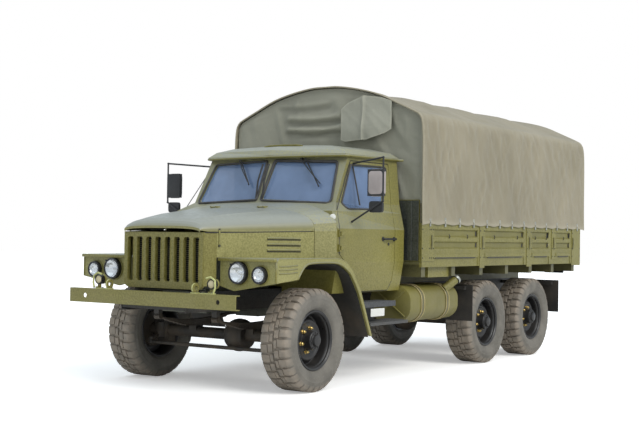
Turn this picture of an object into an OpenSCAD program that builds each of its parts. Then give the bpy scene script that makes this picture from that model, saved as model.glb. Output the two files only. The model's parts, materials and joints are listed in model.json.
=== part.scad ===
// Six-wheel-drive cargo truck with a bonneted cab and a canvas-covered bed.
// Z is up, the front faces -Y, the driver's left side is +X, and the wheels stand on Z = 0.
// Inside at_front_axle(), Y = 0 is the front axle.

/* [Overall] */
// Front axle to middle axle
wheelbase = 3511; // [3300:1:3800]
// Middle axle to rear axle
bogie_spacing = 1264; // [1150:2:1400]
// Distance between the middle planes of the two tyres of one axle
track_width = 1914; // [1840:2:1960]
// Front face of the bumper ahead of the front axle
front_overhang = 1089; // [1050:1:1200]
// Width of the cargo bed over its side boards
bed_width = 2500; // [2440:2:2600]
// Front end of the cargo bed behind the front axle
bed_front = 1704; // [1700:1:1800]
// Length of the cargo bed
bed_length = 4235; // [3900:1:4600]

/* [Wheels] */
// Outer diameter of a tyre
tyre_diameter = 964; // [900:2:1000]
// Width of a tyre at its sidewalls
tyre_width = 350; // [320:2:370]
// Diameter of the tyre's bead seat
bead_diameter = 524; // [480:2:560]
// Width of the rim between its flanges
rim_width = 250; // [220:2:270]
// Height of a rim flange above the bead seat
flange_height = 22; // [14:1:28]
// Thickness of the rim barrel
rim_wall = 22; // [10:1:26]
// Thickness of the wheel disc
disc_wall = 10; // [8:1:16]
// Outboard face of the wheel disc from the wheel's middle plane
disc_offset = 50; // [30:1:70]
// Outer end of the hub from the wheel's middle plane
hub_reach = 168; // [130:1:170]
// Diameter of the hub
hub_diameter = 172; // [150:2:190]
// Diameter of the brake drum
drum_diameter = 400; // [360:2:430]
// Diameter of the spindle that a hub turns on
spindle_diameter = 80; // [70:2:90]
// Radial running clearance of a hub on its spindle
spindle_clearance = 0.05; // [0.02:0.01:0.1]
// Gap left between a turning wheel and what stands beside it
wheel_gap = 8; // [6:1:12]

/* [Frame] */
// Top of the frame rails above the ground
rail_top = 930; // [900:5:960]
// Height of a frame rail
rail_height = 185; // [150:5:220]
// Width of a rail flange
rail_flange = 75; // [60:1:90]
// Thickness of the rail channel
rail_wall = 8; // [6:1:12]
// Outer width of the frame over its two rails
frame_width = 790; // [740:2:820]
// Rear end of the frame behind the rear axle
rear_overhang = 1085; // [1000:5:1150]
// Length of a crossmember along the frame
crossmember_length = 110; // [80:5:140]

/* [Bumper] */
// Width of the bumper
bumper_width = 2020; // [1900:5:2200]
// Height of the bumper
bumper_height = 132; // [110:1:160]
// Lower edge of the bumper above the ground
bumper_bottom = 797; // [780:1:830]
// Depth of the bumper channel
bumper_depth = 60; // [50:1:80]
// Diameter of the two towing holes in the bumper
bumper_hole = 44; // [30:1:60]
// Distance between the two towing holes
bumper_hole_spacing = 1620; // [1500:5:1720]

/* [Axles and springs] */
// Diameter of an axle tube
axle_tube = 110; // [90:2:130]
// Diameter of a differential housing
diff_diameter = 320; // [300:2:370]
// Sideways offset of the front differential toward the driver
front_diff_offset = 200; // [150:5:240]
// Kingpin axis inboard of the wheel's middle plane
kingpin_offset = 150; // [146:1:156]
// Diameter of the kingpin housing
kingpin_housing = 150; // [130:2:160]
// Length of a steering arm ahead of its kingpin
steering_arm = 165; // [150:5:175]
// Diameter of the tie rod
tie_rod_diameter = 36; // [30:1:50]
// Width of a leaf spring
spring_width = 70; // [60:1:80]
// Thickness of one spring leaf
leaf_thickness = 9; // [7:1:10]
// Number of leaves in a spring
leaf_count = 7; // [4:1:8]
// Half the length of a front spring
front_spring_half = 560; // [500:5:600]

/* [Cab] */
// Height of the cab's lower edge above the ground
cab_sill = 900; // [890:1:910]
// Height of the cab's belt line
belt_height = 1530; // [1500:5:1550]
// Height of the windshield's base
shield_base = 1790; // [1780:1:1800]
// Height of the roof gutter
gutter_height = 2250; // [2230:1:2270]
// Height of the roof's crown above the gutter
roof_rise = 145; // [110:1:170]
// Width of the cab at the belt line
cab_width = 2130; // [2100:2:2150]
// Front wall of the cab behind the front axle
firewall = 385; // [380:1:400]
// Rear wall of the cab behind the front axle
cab_rear = 1640; // [1600:1:1650]
// Thickness of the cab's walls and doors
cab_wall = 38; // [30:1:45]
// Gap around a door
door_gap = 6; // [5:1:9]
// Thickness of a window pane
glass_thickness = 6; // [4:1:8]
// Depth of a window pane behind the outer face
glass_depth = 12; // [8:1:16]
// Thickness of the cab floor
floor_thickness = 28; // [20:1:35]
// Underside of the cab floor above the ground
floor_bottom = 950; // [940:1:960]
// Diameter of the steering wheel
steering_wheel_diameter = 440; // [400:5:480]

/* [Bonnet] */
// Half width of the bonnet at its front
nose_half_width = 470; // [450:1:490]
// Half width of the bonnet at its rear
hood_rear_half = 946; // [920:1:960]
// Front lip of the bonnet ahead of the front axle
nose_reach = 935; // [920:1:950]
// Rear edge of the bonnet behind the front axle
hood_rear = 168; // [150:1:180]
// Thickness of the bonnet shell
hood_wall = 22; // [14:1:26]
// Gap between the bonnet and what it closes on
hood_gap = 6; // [5:1:8]
// Number of upright bars in the grille
bar_count = 7; // [5:1:9]
// Distance from one grille bar to the next
bar_pitch = 115; // [105:1:120]
// Width of a grille bar
bar_width = 44; // [34:1:50]
// Depth of the grille panel
grille_depth = 40; // [30:1:50]

/* [Wings] */
// Half the width of the truck over its front wings
wing_half_width = 1180; // [1160:1:1200]
// Thickness of the wing panels
wing_wall = 24; // [16:1:30]
// Crest of the wings above the ground
wing_top = 1245; // [1240:1:1255]
// Front face of the wings ahead of the front axle
wing_front = 740; // [720:1:760]
// Diameter of the large headlamp bezel
headlamp_diameter = 206; // [190:2:212]
// Diameter of the small lamp bezel
small_lamp_diameter = 160; // [140:2:170]
// Depth of a lamp bezel ahead of the wing
lamp_depth = 46; // [30:1:60]

/* [Cargo bed] */
// Top of the bed floor above the ground
bed_floor_top = 1203; // [1190:1:1210]
// Thickness of the bed floor
bed_floor_thickness = 33; // [25:1:40]
// Top of the side boards above the ground
board_top = 1605; // [1550:5:1640]
// Thickness of a side board
board_thickness = 32; // [25:1:40]
// Lower end of the long side posts above the ground
post_bottom = 1112; // [1105:1:1120]
// Top of the headboard above the ground
headboard_top = 1850; // [1800:5:1900]
// Gap between the tailgate and the posts beside it
tailgate_gap = 6; // [5:1:10]
// Diameter of the bore in the tow hitch
hitch_bore = 50; // [40:1:60]

/* [Canopy] */
// Crown of the canopy above the ground
canopy_top = 3100; // [3000:5:3150]
// Thickness of the canvas
canvas = 12; // [8:1:16]
// Front of the canopy behind the front axle
canopy_front_y = 1692; // [1686:1:1696]
// Rear of the canopy beyond the bed
canopy_overhang = 102; // [80:1:120]
// Width of a bow
bow_width = 40; // [30:1:50]
// Number of bows
bow_count = 5; // [3:1:7]

/* [Hidden] */
$fn = 96;
slack = 0.3;                 // space kept between nested curved faces
axle_z = tyre_diameter / 2;
rear_axle_y = wheelbase + bogie_spacing;
frame_rear = rear_axle_y + rear_overhang;
bogie_y = wheelbase + bogie_spacing / 2;
canopy_rear_y = bed_front + bed_length + canopy_overhang;
front_axle_y = -(canopy_rear_y - front_overhang) / 2;
wheel_x = track_width / 2;
kingpin_x = wheel_x - kingpin_offset;
bead_r = bead_diameter / 2;
barrel_inner = bead_r - rim_wall;
drum_r = drum_diameter / 2;
spindle_r = spindle_diameter / 2;
plate_x = wheel_x - 34;      // brake back plate, inboard of the drum's mouth
drum_mouth = -34 + 14 + wheel_gap;
rail_outer = frame_width / 2;
rail_bottom = rail_top - rail_height;
spring_x = rail_outer - rail_flange / 2;
tube_r = axle_tube / 2;
saddle_top = axle_z + tube_r + 12;
bed_rear = bed_front + bed_length;
bed_half = bed_width / 2;
belt_half = cab_width / 2;
roof_top = gutter_height + roof_rise;
bearer_bottom = 1040;
cab_floor_top = floor_bottom + floor_thickness;
hitch_z = rail_top - 88;     // middle of the tow hitch
front_eye_z = 660;           // middle of a front spring's eye
trunnion_z = axle_z + 60;    // shaft that the rear springs rock on
bogie_drop = 46;             // how far a rear spring's ends lie below its middle
trunnion_r = 55;
trunnion_x = rail_outer - rail_flange - 40;
hanger_half = 30;
hitch_eye_r = 52;
hitch_eye_height = 44;
rear_seat_z = trunnion_z + trunnion_r + 12 - bogie_drop;
cab_mount_front = 520;
cab_mount_rear = 1560;
tailgate_hinges = [300, 900]; // middles of the tailgate hinges, on both sides
mid_flap_y = wheelbase - 586;
rear_flap_y = rear_axle_y + 555;
post_depth = 6;              // side posts outside the boards
headboard_thickness = 30;
headboard_rebate = 2;          // its step down into the floor
hook_x = 524;                // tow hooks on the bumper
hook_height = 48;            // their eyes above its top
guard_lamp_x = 688;          // turn lamps on the bumper
guard_lamp_height = 86;      // their middles above its top
case_y = 1850;               // middle of the transfer case
wheel_hub = [480, 860, 1690]; // middle of the steering wheel
dash_front = firewall + cab_wall - 0.5;
dash_half = belt_half - 215;
column_tilt = 38;            // lean of the steering column from the vertical
column_axis = [0, sin(column_tilt), cos(column_tilt)];
// pivot of the two bonnet hinges
hood_axis_z = 1733;
hood_axis_y = hood_rear + hood_gap / 2;
hood_hinge_x = 300;
// pivot line of the doors
door_axis = [belt_half + 16, 436];
hinge_heights = [1340, 1480]; // middle heights of a door's two hinges
hinge_pin = 5;               // radius of a hinge pin
pin_clearance = 0.05;        // radial clearance of a hinge on its pin
spindle_reach = 112;         // outer end of a spindle from the wheel's middle plane
tie_rod_z = axle_z - 116;
tailgate_axis = [bed_front + bed_length - 6, bed_floor_top - 40];

// ---- placing and shaping helpers ----

module at_front_axle() {
    translate([0, front_axle_y, 0]) children();
}

module both_sides() {
    children();
    mirror([1, 0, 0]) children();
}

// box between two limits on each axis
module span(x, y, z) {
    translate([x[0], y[0], z[0]]) cube([x[1] - x[0], y[1] - y[0], z[1] - z[0]]);
}

// outline in Y and Z, carried from x[0] to x[1]
module along_x(x) {
    translate([x[0], 0, 0]) rotate([90, 0, 90]) linear_extrude(x[1] - x[0]) children();
}

// outline in X and Z, carried from y[0] to y[1]
module along_y(y) {
    translate([0, y[1], 0]) rotate([90, 0, 0]) linear_extrude(y[1] - y[0]) children();
}

// round bar from p to q
module bar(p, q, r) {
    d = q - p;
    translate(p)
        rotate([0, acos(d[2] / norm(d)), atan2(d[1], d[0])])
            cylinder(h = norm(d), r = r);
}

// skin through rings of points, each ring counter-clockwise seen from its far end
module loft(rings) {
    n = len(rings[0]);
    m = len(rings);
    sides = [for (i = [0 : m - 2]) for (j = [0 : n - 1])
        let (a = i * n + j, b = i * n + (j + 1) % n, c = a + n, d = b + n)
        each [[c, d, b], [c, b, a]]];
    polyhedron([for (r = rings) each r],
        concat(sides, [[for (j = [0 : n - 1]) j]], [[for (j = [n - 1 : -1 : 0]) (m - 1) * n + j]]));
}

// clockwise outline with every edge moved outward by d
function grown(p, d) = let (n = len(p)) [for (i = [0 : n - 1])
    let (u = p[i] - p[(i + n - 1) % n], v = p[(i + 1) % n] - p[i],
        a = [-u[1], u[0]] / norm(u), b = [-v[1], v[0]] / norm(v))
    p[i] + d * (a + b) / (1 + a * b)];

// ---- wheels ----

module wheel_at(side, y, offset = 0) {
    translate([side * (wheel_x + offset), y, axle_z])
        rotate([0, side * 90, 0]) children();
}

// rim, disc, hub and brake drum; local +Z is outboard
module wheel_body() {
    half = rim_width / 2;
    lip = 12;
    difference() {
        union() {
            rotate_extrude() polygon([
                [barrel_inner, -half - lip], [bead_r + flange_height, -half - lip],
                [bead_r + flange_height, -half], [bead_r - slack, -half],
                [bead_r - slack, half], [bead_r + flange_height, half],
                [bead_r + flange_height, half + lip], [barrel_inner, half + lip]]);
            translate([0, 0, disc_offset - disc_wall])
                cylinder(h = disc_wall, r = barrel_inner + 1);
            translate([0, 0, drum_mouth])
                cylinder(h = disc_offset - disc_wall - drum_mouth, r = drum_r);
            translate([0, 0, disc_offset - 1])
                cylinder(h = hub_reach - 30 - disc_offset + 1, r = hub_diameter / 2);
            translate([0, 0, hub_reach - 31])
                cylinder(h = 31, r = hub_diameter / 2 - 26);
        }
        // inside of the drum, left open toward the back plate
        difference() {
            translate([0, 0, drum_mouth - 1])
                cylinder(h = 46, r = drum_r - 14);
            translate([0, 0, drum_mouth])
                cylinder(h = 46, r = hub_diameter / 2 - 18);
        }
        // bearing bore
        translate([0, 0, drum_mouth - 1])
            cylinder(h = spindle_reach + 5 - drum_mouth + 1, r = spindle_r + spindle_clearance);
    }
}

module tyre_body() {
    r = tyre_diameter / 2;
    half = tyre_width / 2;
    bead = rim_width / 2 - slack;
    lip = bead_r + flange_height + 2;
    rotate_extrude() polygon([
        [bead_r, -bead], [lip, -bead], [lip + 6, -bead - 8], [bead_r + 60, -half + 14],
        [bead_r + 110, -half], [r - 62, -half + 4], [r - 26, -half + 16], [r, -half + 34],
        [r, half - 34], [r - 26, half - 16], [r - 62, half - 4], [bead_r + 110, half],
        [bead_r + 60, half - 14], [lip + 6, bead + 8], [lip, bead], [bead_r, bead]]);
}

module rim(side, y) {
    color("#17181a") at_front_axle() wheel_at(side, y) wheel_body();
}

module tyre(side, y) {
    color("#2b2a28") at_front_axle() wheel_at(side, y) tyre_body();
}

// spindle of one wheel and the brake back plate behind its drum
module wheel_spindle(side, y) {
    wheel_at(side, y) {
        translate([0, 0, -34])
            cylinder(h = 14, r = drum_r - 22);
        translate([0, 0, -34])
            cylinder(h = 34 + spindle_reach, r = spindle_r);
    }
}

// ---- chassis ----

module rail_channel() {
    along_y([-front_overhang + bumper_depth, frame_rear])
        polygon([
            [rail_outer - rail_flange, rail_bottom], [rail_outer, rail_bottom],
            [rail_outer, rail_top], [rail_outer - rail_flange, rail_top],
            [rail_outer - rail_flange, rail_top - rail_wall],
            [rail_outer - rail_wall, rail_top - rail_wall],
            [rail_outer - rail_wall, rail_bottom + rail_wall],
            [rail_outer - rail_flange, rail_bottom + rail_wall]]);
}

// two channel rails with their spring hangers, trunnion brackets and cab mounts
module frame_rails() {
    color("#23251f") at_front_axle() both_sides() {
        rail_channel();
        // spring hangers below the rail
        for (y = [-front_spring_half, front_spring_half])
            span([spring_x - hanger_half, spring_x + hanger_half], [y - 26, y + 26],
                [front_eye_z + 26, rail_bottom + 1]);
        // trunnion bracket of the rear springs
        along_x([trunnion_x, rail_outer - rail_flange + 1])
            polygon([[bogie_y - 190, rail_bottom + rail_wall], [bogie_y - 80, trunnion_z - 60],
                [bogie_y + 80, trunnion_z - 60], [bogie_y + 190, rail_bottom + rail_wall]]);
        // trunnion that the rear spring rocks on
        translate([trunnion_x, bogie_y, trunnion_z]) rotate([0, 90, 0])
            cylinder(h = spring_width + 65, r = trunnion_r);
        // posts under the cab mounts
        for (y = [cab_mount_front, cab_mount_rear])
            span([rail_outer - rail_flange, rail_outer], [y - 45, y + 45],
                [rail_top - 1, floor_bottom]);
    }
}

// crossmembers between the rails, arms outside them and the tow hitch behind them
module crossmembers() {
    web = rail_outer - rail_wall;
    // crossmembers: [middle, bottom, top]
    members = [
        [-front_overhang + bumper_depth + 60, rail_bottom + 20, rail_bottom + 90],
        [1002, rail_top - 80, rail_top - rail_wall],
        [1450, rail_top - 110, rail_top - rail_wall],
        [wheelbase - 620, rail_bottom + rail_wall, rail_top - rail_wall],
        [bogie_y, rail_bottom + rail_wall, rail_top - rail_wall],
        [frame_rear - 605, rail_bottom + rail_wall, rail_top - rail_wall],
        [frame_rear - 55, rail_bottom + rail_wall, rail_top - rail_wall]];
    // arms: [middle, half width, outer end, bottom, top]
    arms = [
        [870, 25, 890, rail_bottom + 15, rail_bottom + 50],
        [1300, 25, 890, rail_bottom + 15, rail_bottom + 50],
        [1850, 30, 645, rail_bottom + 12, rail_bottom + 92],
        [2450, 30, 645, rail_bottom + 12, rail_bottom + 92],
        [mid_flap_y, 20, 1120, rail_top - 60, rail_top - 20],
        [rear_flap_y, 20, 1120, rail_top - 60, rail_top - 20]];
    color("#23251f") at_front_axle() {
        for (c = members)
            span([-web, web], [c[0] - crossmember_length / 2, c[0] + crossmember_length / 2],
                [c[1], c[2]]);
        both_sides() for (a = arms)
            span([rail_outer, a[2]], [a[0] - a[1], a[0] + a[1]], [a[3], a[4]]);
        // end plate, neck and eye of the hitch
        difference() {
            union() {
                span([-rail_outer, rail_outer], [frame_rear, frame_rear + 24],
                    [rail_bottom + 10, rail_top - 10]);
                translate([0, frame_rear + 70, hitch_z])
                    cylinder(h = hitch_eye_height, r = hitch_eye_r, center = true);
                span([-40, 40], [frame_rear + 20, frame_rear + 60], [hitch_z - 20, hitch_z + 20]);
            }
            translate([0, frame_rear + 70, hitch_z])
                cylinder(h = 60, r = hitch_bore / 2, center = true);
        }
    }
}

module front_bumper() {
    y0 = -front_overhang;
    z = [bumper_bottom, bumper_bottom + bumper_height];
    color("#666a3a") at_front_axle() {
        difference() {
            span([-bumper_width / 2, bumper_width / 2], [y0, y0 + bumper_depth - 1], z);
            span([-bumper_width / 2 - 1, bumper_width / 2 + 1], [y0 + 8, y0 + bumper_depth],
                [z[0] + 8, z[1] - 8]);
            for (s = [-1, 1])
                translate([s * bumper_hole_spacing / 2, y0 - 1, (z[0] + z[1]) / 2])
                    rotate([-90, 0, 0]) cylinder(h = 20, r = bumper_hole / 2);
        }
        // mounting plates on the frame ends
        both_sides() {
            span([rail_outer - 60, rail_outer], [y0 + 7, y0 + bumper_depth], [z[0] + 7, z[1] - 7]);
            // tow hook and lamp guard seats on top of the bumper
            span([hook_x - 20, hook_x + 20], [y0 + 10, y0 + 55], [z[1] - 1, z[1] + 22]);
            difference() {
                translate([hook_x, y0 + 32, z[1] + hook_height]) rotate([0, 90, 0])
                    cylinder(h = 24, r = 42, center = true);
                translate([hook_x, y0 + 32, z[1] + hook_height]) rotate([0, 90, 0])
                    cylinder(h = 40, r = 22, center = true);
            }
            // turn lamp on its stand
            translate([guard_lamp_x, y0 + 56, z[1] + guard_lamp_height]) rotate([-90, 0, 0])
                cylinder(h = 60, r = 46);
            // the stand leaves the line through the tow eyes free
            span([guard_lamp_x - 14, guard_lamp_x + 14], [y0 + 30, y0 + 80], [z[1] - 1, z[1] + 20]);
            span([guard_lamp_x - 14, guard_lamp_x + 14], [y0 + 57, y0 + 80],
                [z[1] + 18, z[1] + guard_lamp_height - 34]);
        }
    }
}

// housing, tube and pinion nose of an axle; nose toward +Y or -Y
module axle_housing(y, diff_x, nose, half_length) {
    r = diff_diameter / 2;
    translate([0, y, axle_z]) {
        rotate([0, 90, 0]) cylinder(h = 2 * half_length, r = tube_r, center = true);
        translate([diff_x, 0, 0]) {
            intersection() {
                sphere(r = r);
                cube([r * 1.3, 2 * r, 2 * r], center = true);
            }
            rotate([-nose * 90, 0, 0]) {
                cylinder(h = r + 40, r = 82);
                cylinder(h = r + 70, r = 52);
            }
        }
    }
}

module spring_saddles(y, x, top) {
    both_sides()
        span([x - 45, x + 45], [y - 55, y + 55], [axle_z, top]);
}

module front_axle() {
    end = kingpin_x - kingpin_housing / 2 - wheel_gap;
    color("#1f211c") at_front_axle() {
        difference() {
            union() {
                axle_housing(0, front_diff_offset, 1, end);
                spring_saddles(0, spring_x, saddle_top);
                // forked ends that hold the kingpins
                both_sides() {
                    for (z = [axle_z - 118, axle_z + 84])
                        span([end - 40, kingpin_x + 34], [-38, 38], [z, z + 34]);
                    span([end - 40, end], [-60, 60], [axle_z - 118, axle_z + 118]);
                }
            }
            for (s = [-1, 1])
                translate([s * kingpin_x, 0, axle_z - 140])
                    cylinder(h = 280, r = 16 + spindle_clearance);
        }
    }
}

module knuckle(side) {
    color("#1f211c") at_front_axle() {
        mirror([side < 0 ? 1 : 0, 0, 0]) {
            translate([kingpin_x, 0, axle_z]) {
                cylinder(h = 2 * (84 - 6), r = kingpin_housing / 2, center = true);
                cylinder(h = 236, r = 16, center = true);
            }
            wheel_spindle(1, 0);
            translate([kingpin_x, 0, axle_z]) rotate([0, 90, 0])
                cylinder(h = wheel_x - 34 - kingpin_x + 5, r = 62);
            // steering arm toward the tie rod
            bar([kingpin_x, -40, axle_z - 36], [kingpin_x, -steering_arm + 6, tie_rod_z + 34], 15);
            translate([kingpin_x, -steering_arm, tie_rod_z - 18]) cylinder(h = 50, r = 12);
            translate([kingpin_x, -steering_arm, tie_rod_z + 18 + 5]) cylinder(h = 24, r = 24);
        }
    }
}

module tie_rod() {
    y = -steering_arm;
    color("#2a2c26") at_front_axle()
        difference() {
            union() {
                bar([-kingpin_x + 20, y, tie_rod_z], [kingpin_x - 20, y, tie_rod_z], tie_rod_diameter / 2);
                both_sides()
                    translate([kingpin_x, y, tie_rod_z])
                        cylinder(h = tie_rod_diameter - 4, r = 25, center = true);
            }
            for (s = [-1, 1])
                translate([s * kingpin_x, y, tie_rod_z])
                    cylinder(h = 80, r = 12 + spindle_clearance, center = true);
        }
}

module driven_axle(y, nose) {
    color("#1f211c") at_front_axle() {
        axle_housing(y, 0, nose, wheel_x - 30);
        // output flange of the middle axle
        if (y < bogie_y)
            translate([0, y, axle_z]) rotate([-90, 0, 0]) cylinder(h = diff_diameter / 2 + 25, r = 58);
        spring_saddles(y, spring_x, rear_seat_z);
        for (s = [-1, 1]) wheel_spindle(s, y);
    }
}

// leaves of one spring in Y and Z, middle at the origin, ends raised
module leaf_pack(half_length, rise) {
    radius = (half_length * half_length + rise * rise) / (2 * rise);
    for (i = [0 : leaf_count - 1])
        intersection() {
            translate([0, radius]) difference() {
                circle(r = radius + (i + 1) * leaf_thickness, $fn = 360);
                circle(r = radius + i * leaf_thickness, $fn = 360);
            }
            translate([-half_length * (1 - 0.11 * i), -200])
                square([2 * half_length * (1 - 0.11 * i), 400 + rise]);
        }
}

module leaf_springs() {
    pack = leaf_count * leaf_thickness;
    x = [spring_x - spring_width / 2, spring_x + spring_width / 2];
    front_rise = front_eye_z - saddle_top - pack;
    color("#26241f") at_front_axle() both_sides() {
        along_x(x) translate([0, saddle_top + pack]) leaf_pack(front_spring_half, front_rise);
        for (y = [-front_spring_half, front_spring_half])
            translate([spring_x, y, front_eye_z]) rotate([0, 90, 0])
                cylinder(h = spring_width, r = 26, center = true);
        along_x(x) translate([bogie_y, trunnion_z + 55 + 12]) mirror([0, 1])
            leaf_pack(bogie_spacing / 2 + 40, bogie_drop);
        span(x, [bogie_y - 70, bogie_y + 70], [trunnion_z + 55, trunnion_z + 55 + 13]);
    }
}

// ---- drive line ----

module engine_block() {
    color("#3b3f38") at_front_axle()
        span([-270, 270], [-600, firewall - 25], [720, 1330]);
}

module radiator() {
    color("#2b2a27") at_front_axle()
        span([-400, 400], [-845, -775], [rail_top, 1430]);
}

module transfer_case() {
    color("#34372f") at_front_axle() {
        // gearbox behind the engine
        span([-140, 140], [firewall - 25, 945], [640, 905]);
        // transfer case with its three outputs
        span([-150, 290], [case_y - 170, case_y + 170], [500, 860]);
        // hangers under the frame rails
        span([1 - rail_outer + rail_wall, rail_outer - rail_wall - 1], [case_y - 60, case_y + 60],
            [rail_bottom + rail_wall, rail_bottom + 50]);
    }
}

// drive shaft between two faces that stand across Y, its ends trimmed to lie just clear of them
module drive_shaft(p, q, r) {
    d = q - p;
    trim = r * norm([d[0], d[2]]) / norm(d) + slack;
    e = trim * d / norm(d);
    bar(p + e, q - e, r);
}

module drive_shafts() {
    r = 38;
    nose = diff_diameter / 2 + 70;
    color("#1b1c19") at_front_axle() {
        drive_shaft([0, 945, 760], [0, case_y - 170, 760], r);
        drive_shaft([front_diff_offset, nose, axle_z], [front_diff_offset, case_y - 170, 590], r);
        drive_shaft([0, case_y + 170, 590], [0, wheelbase - nose, axle_z], r);
        drive_shaft([0, wheelbase + diff_diameter / 2 + 25, axle_z], [0, rear_axle_y - nose, axle_z], r);
    }
}

// ---- tank, boxes, steps ----

module fuel_tank() {
    y = [1650, 2700];
    x = [645, 1150];
    z = [565, 945];
    c = 95;
    color("#6d7040") at_front_axle() {
        along_y(y) polygon([
            [x[0], z[0] + c], [x[0] + c, z[0]], [x[1] - c, z[0]], [x[1], z[0] + c],
            [x[1], z[1] - c], [x[1] - c, z[1]], [x[0] + c, z[1]], [x[0], z[1] - c]]);
        // slanted filler neck and its cap
        bar([x[1] - 60, y[1] - 250, z[1] - 60], [x[1] - 15, y[1] - 60, z[1] + 40], 48);
        bar([x[1] - 15, y[1] - 62, z[1] + 39], [x[1] - 8, y[1] - 30, z[1] + 56], 58);
    }
}

module toolbox() {
    color("#74773f") at_front_axle() {
        span([820, 1180], [1954, 2410], [1032, bed_floor_top - bed_floor_thickness]);
    }
}

module battery_box() {
    color("#6a6d3c") at_front_axle()
        span([-1130, -645], [1650, 2350], [600, 940]);
}

module cab_steps() {
    color("#3a3c38") at_front_axle() both_sides() {
        span([900, 1120], [745, 1390], [756, 800]);
        span([890, 900], [845, 1330], [570, 800]);
        span([900, 1150], [870, 1600], [570, 600]);
    }
}

module mud_flaps() {
    color("#1c1d1b") at_front_axle() both_sides()
        for (y = [mid_flap_y, rear_flap_y])
            span([790, 1200], [y + 20, y + 28], [520, rail_top]);
}

// ---- bonnet, grille and wings ----

// half width of the bonnet and of its sides at y
function side_x(y) = lookup(y, [[-900, nose_half_width + 8], [-776, 534], [-466, 669],
    [-175, 796], [hood_rear, hood_rear_half], [firewall, belt_half - 3]]);

// upper edge of the bonnet sides at y
function seam_z(y) = lookup(y, [[-900, 1467], [hood_rear, 1497], [firewall, 1503]]);

// arch across the bonnet at y: half width, edge height, crown height, squareness
function arch_ring(y, half, edge, crown, floor_z) = concat(
    [for (i = [0 : 16]) let (t = 180 - 180 * i / 16, c = cos(t), s = sin(t))
        [half * sign(c) * pow(abs(c), 0.62), y, edge + crown * pow(s, 0.72)]],
    [[half, y, floor_z], [-half, y, floor_z]]);

// bonnet stations: [y, half width, edge height, crown]
hood_stations = [
    [-nose_reach, nose_half_width - 6, 1484, 44],
    [-nose_reach + 22, nose_half_width + 2, 1480, 88],
    [-nose_reach + 75, 500, 1474, 122],
    [-480, side_x(-480), seam_z(-480), 176],
    [hood_rear, hood_rear_half, seam_z(hood_rear), 225]];

module hood() {
    color("#777a45") at_front_axle() {
        difference() {
            loft([for (s = hood_stations)
                arch_ring(s[0], s[1], s[2] + 4, s[3] - 4, s[2] + 3)]);
            loft([for (s = hood_stations)
                arch_ring(s[0] + (s[0] < -900 ? hood_wall : s[0] > 0 ? 1 : 0), s[1] - hood_wall, s[2] + 2,
                    s[3] - 4 - hood_wall, s[2] - 40)]);
        }
        // hinge leaves on the rear edge
        both_sides() translate([hood_hinge_x, 0, 0])
            difference() {
                union() {
                    translate([-22, hood_axis_y, hood_axis_z]) rotate([0, 90, 0]) cylinder(h = 44, r = 9);
                    span([-22, 22], [hood_axis_y - 70, hood_axis_y - 4], [hood_axis_z - 16, hood_axis_z - 2]);
                }
                translate([-30, hood_axis_y, hood_axis_z]) rotate([0, 90, 0])
                    cylinder(h = 60, r = hinge_pin + pin_clearance);
            }
    }
}

module hood_sides() {
    ys = [-776, -466, -175, hood_rear];
    color("#787b43") at_front_axle() both_sides()
        difference() {
            translate([0, 0, wing_top]) linear_extrude(300) polygon(concat(
                [for (y = ys) [side_x(y), y]],
                [for (i = [len(ys) - 1 : -1 : 0]) [side_x(ys[i]) - 18, ys[i]]]));
            // top edge below the bonnet seam
            along_x([0, 1200]) polygon([[-1000, seam_z(-900) - 3], [hood_rear + 20, seam_z(hood_rear) - 3],
                [hood_rear + 20, 1700], [-1000, 1700]]);
        }
}

module grille() {
    z = [950, seam_z(-900) + 4];
    slot = (bar_pitch - bar_width) / 2;
    half = nose_half_width + 8;
    color("#7a7d44") at_front_axle() {
        difference() {
            along_y([-909, -909 + grille_depth])
                polygon([[-half, z[1]], [-half, z[0] + 45], [-half + 45, z[0]],
                    [half - 45, z[0]], [half, z[0] + 45], [half, z[1]]]);
            for (i = [0 : bar_count])
                let (x = (i - bar_count / 2) * bar_pitch)
                    span([x - slot, x + slot], [-1000, -800], [z[0] + 65, z[1] - 45]);
        }
        // sides that run back to the bonnet sides
        both_sides()
            translate([0, 0, 985]) linear_extrude(seam_z(-900) - 3 - 985)
                polygon([[half, -900], [side_x(-776), -776], [side_x(-776) - 18, -776],
                    [half - 18, -909 + grille_depth - 1]]);
    }
}

// outer edge of the wing in Y and Z
wing_outline = [[-wing_front, 1028], [-wing_front, wing_top - 38], [-wing_front + 38, wing_top],
    [220, wing_top], [310, wing_top - 12], [400, wing_top - 46], [500, wing_top - 125],
    [640, 930], [850, 480]];
// edge of the wheel arch
arch_outline = [[815, 480], [603, 900], [457, 1090], [400, 1130], [282, 1185],
    [113, 1205], [-226, 1198], [-330, 1150], [-410, 1056]];

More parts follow.
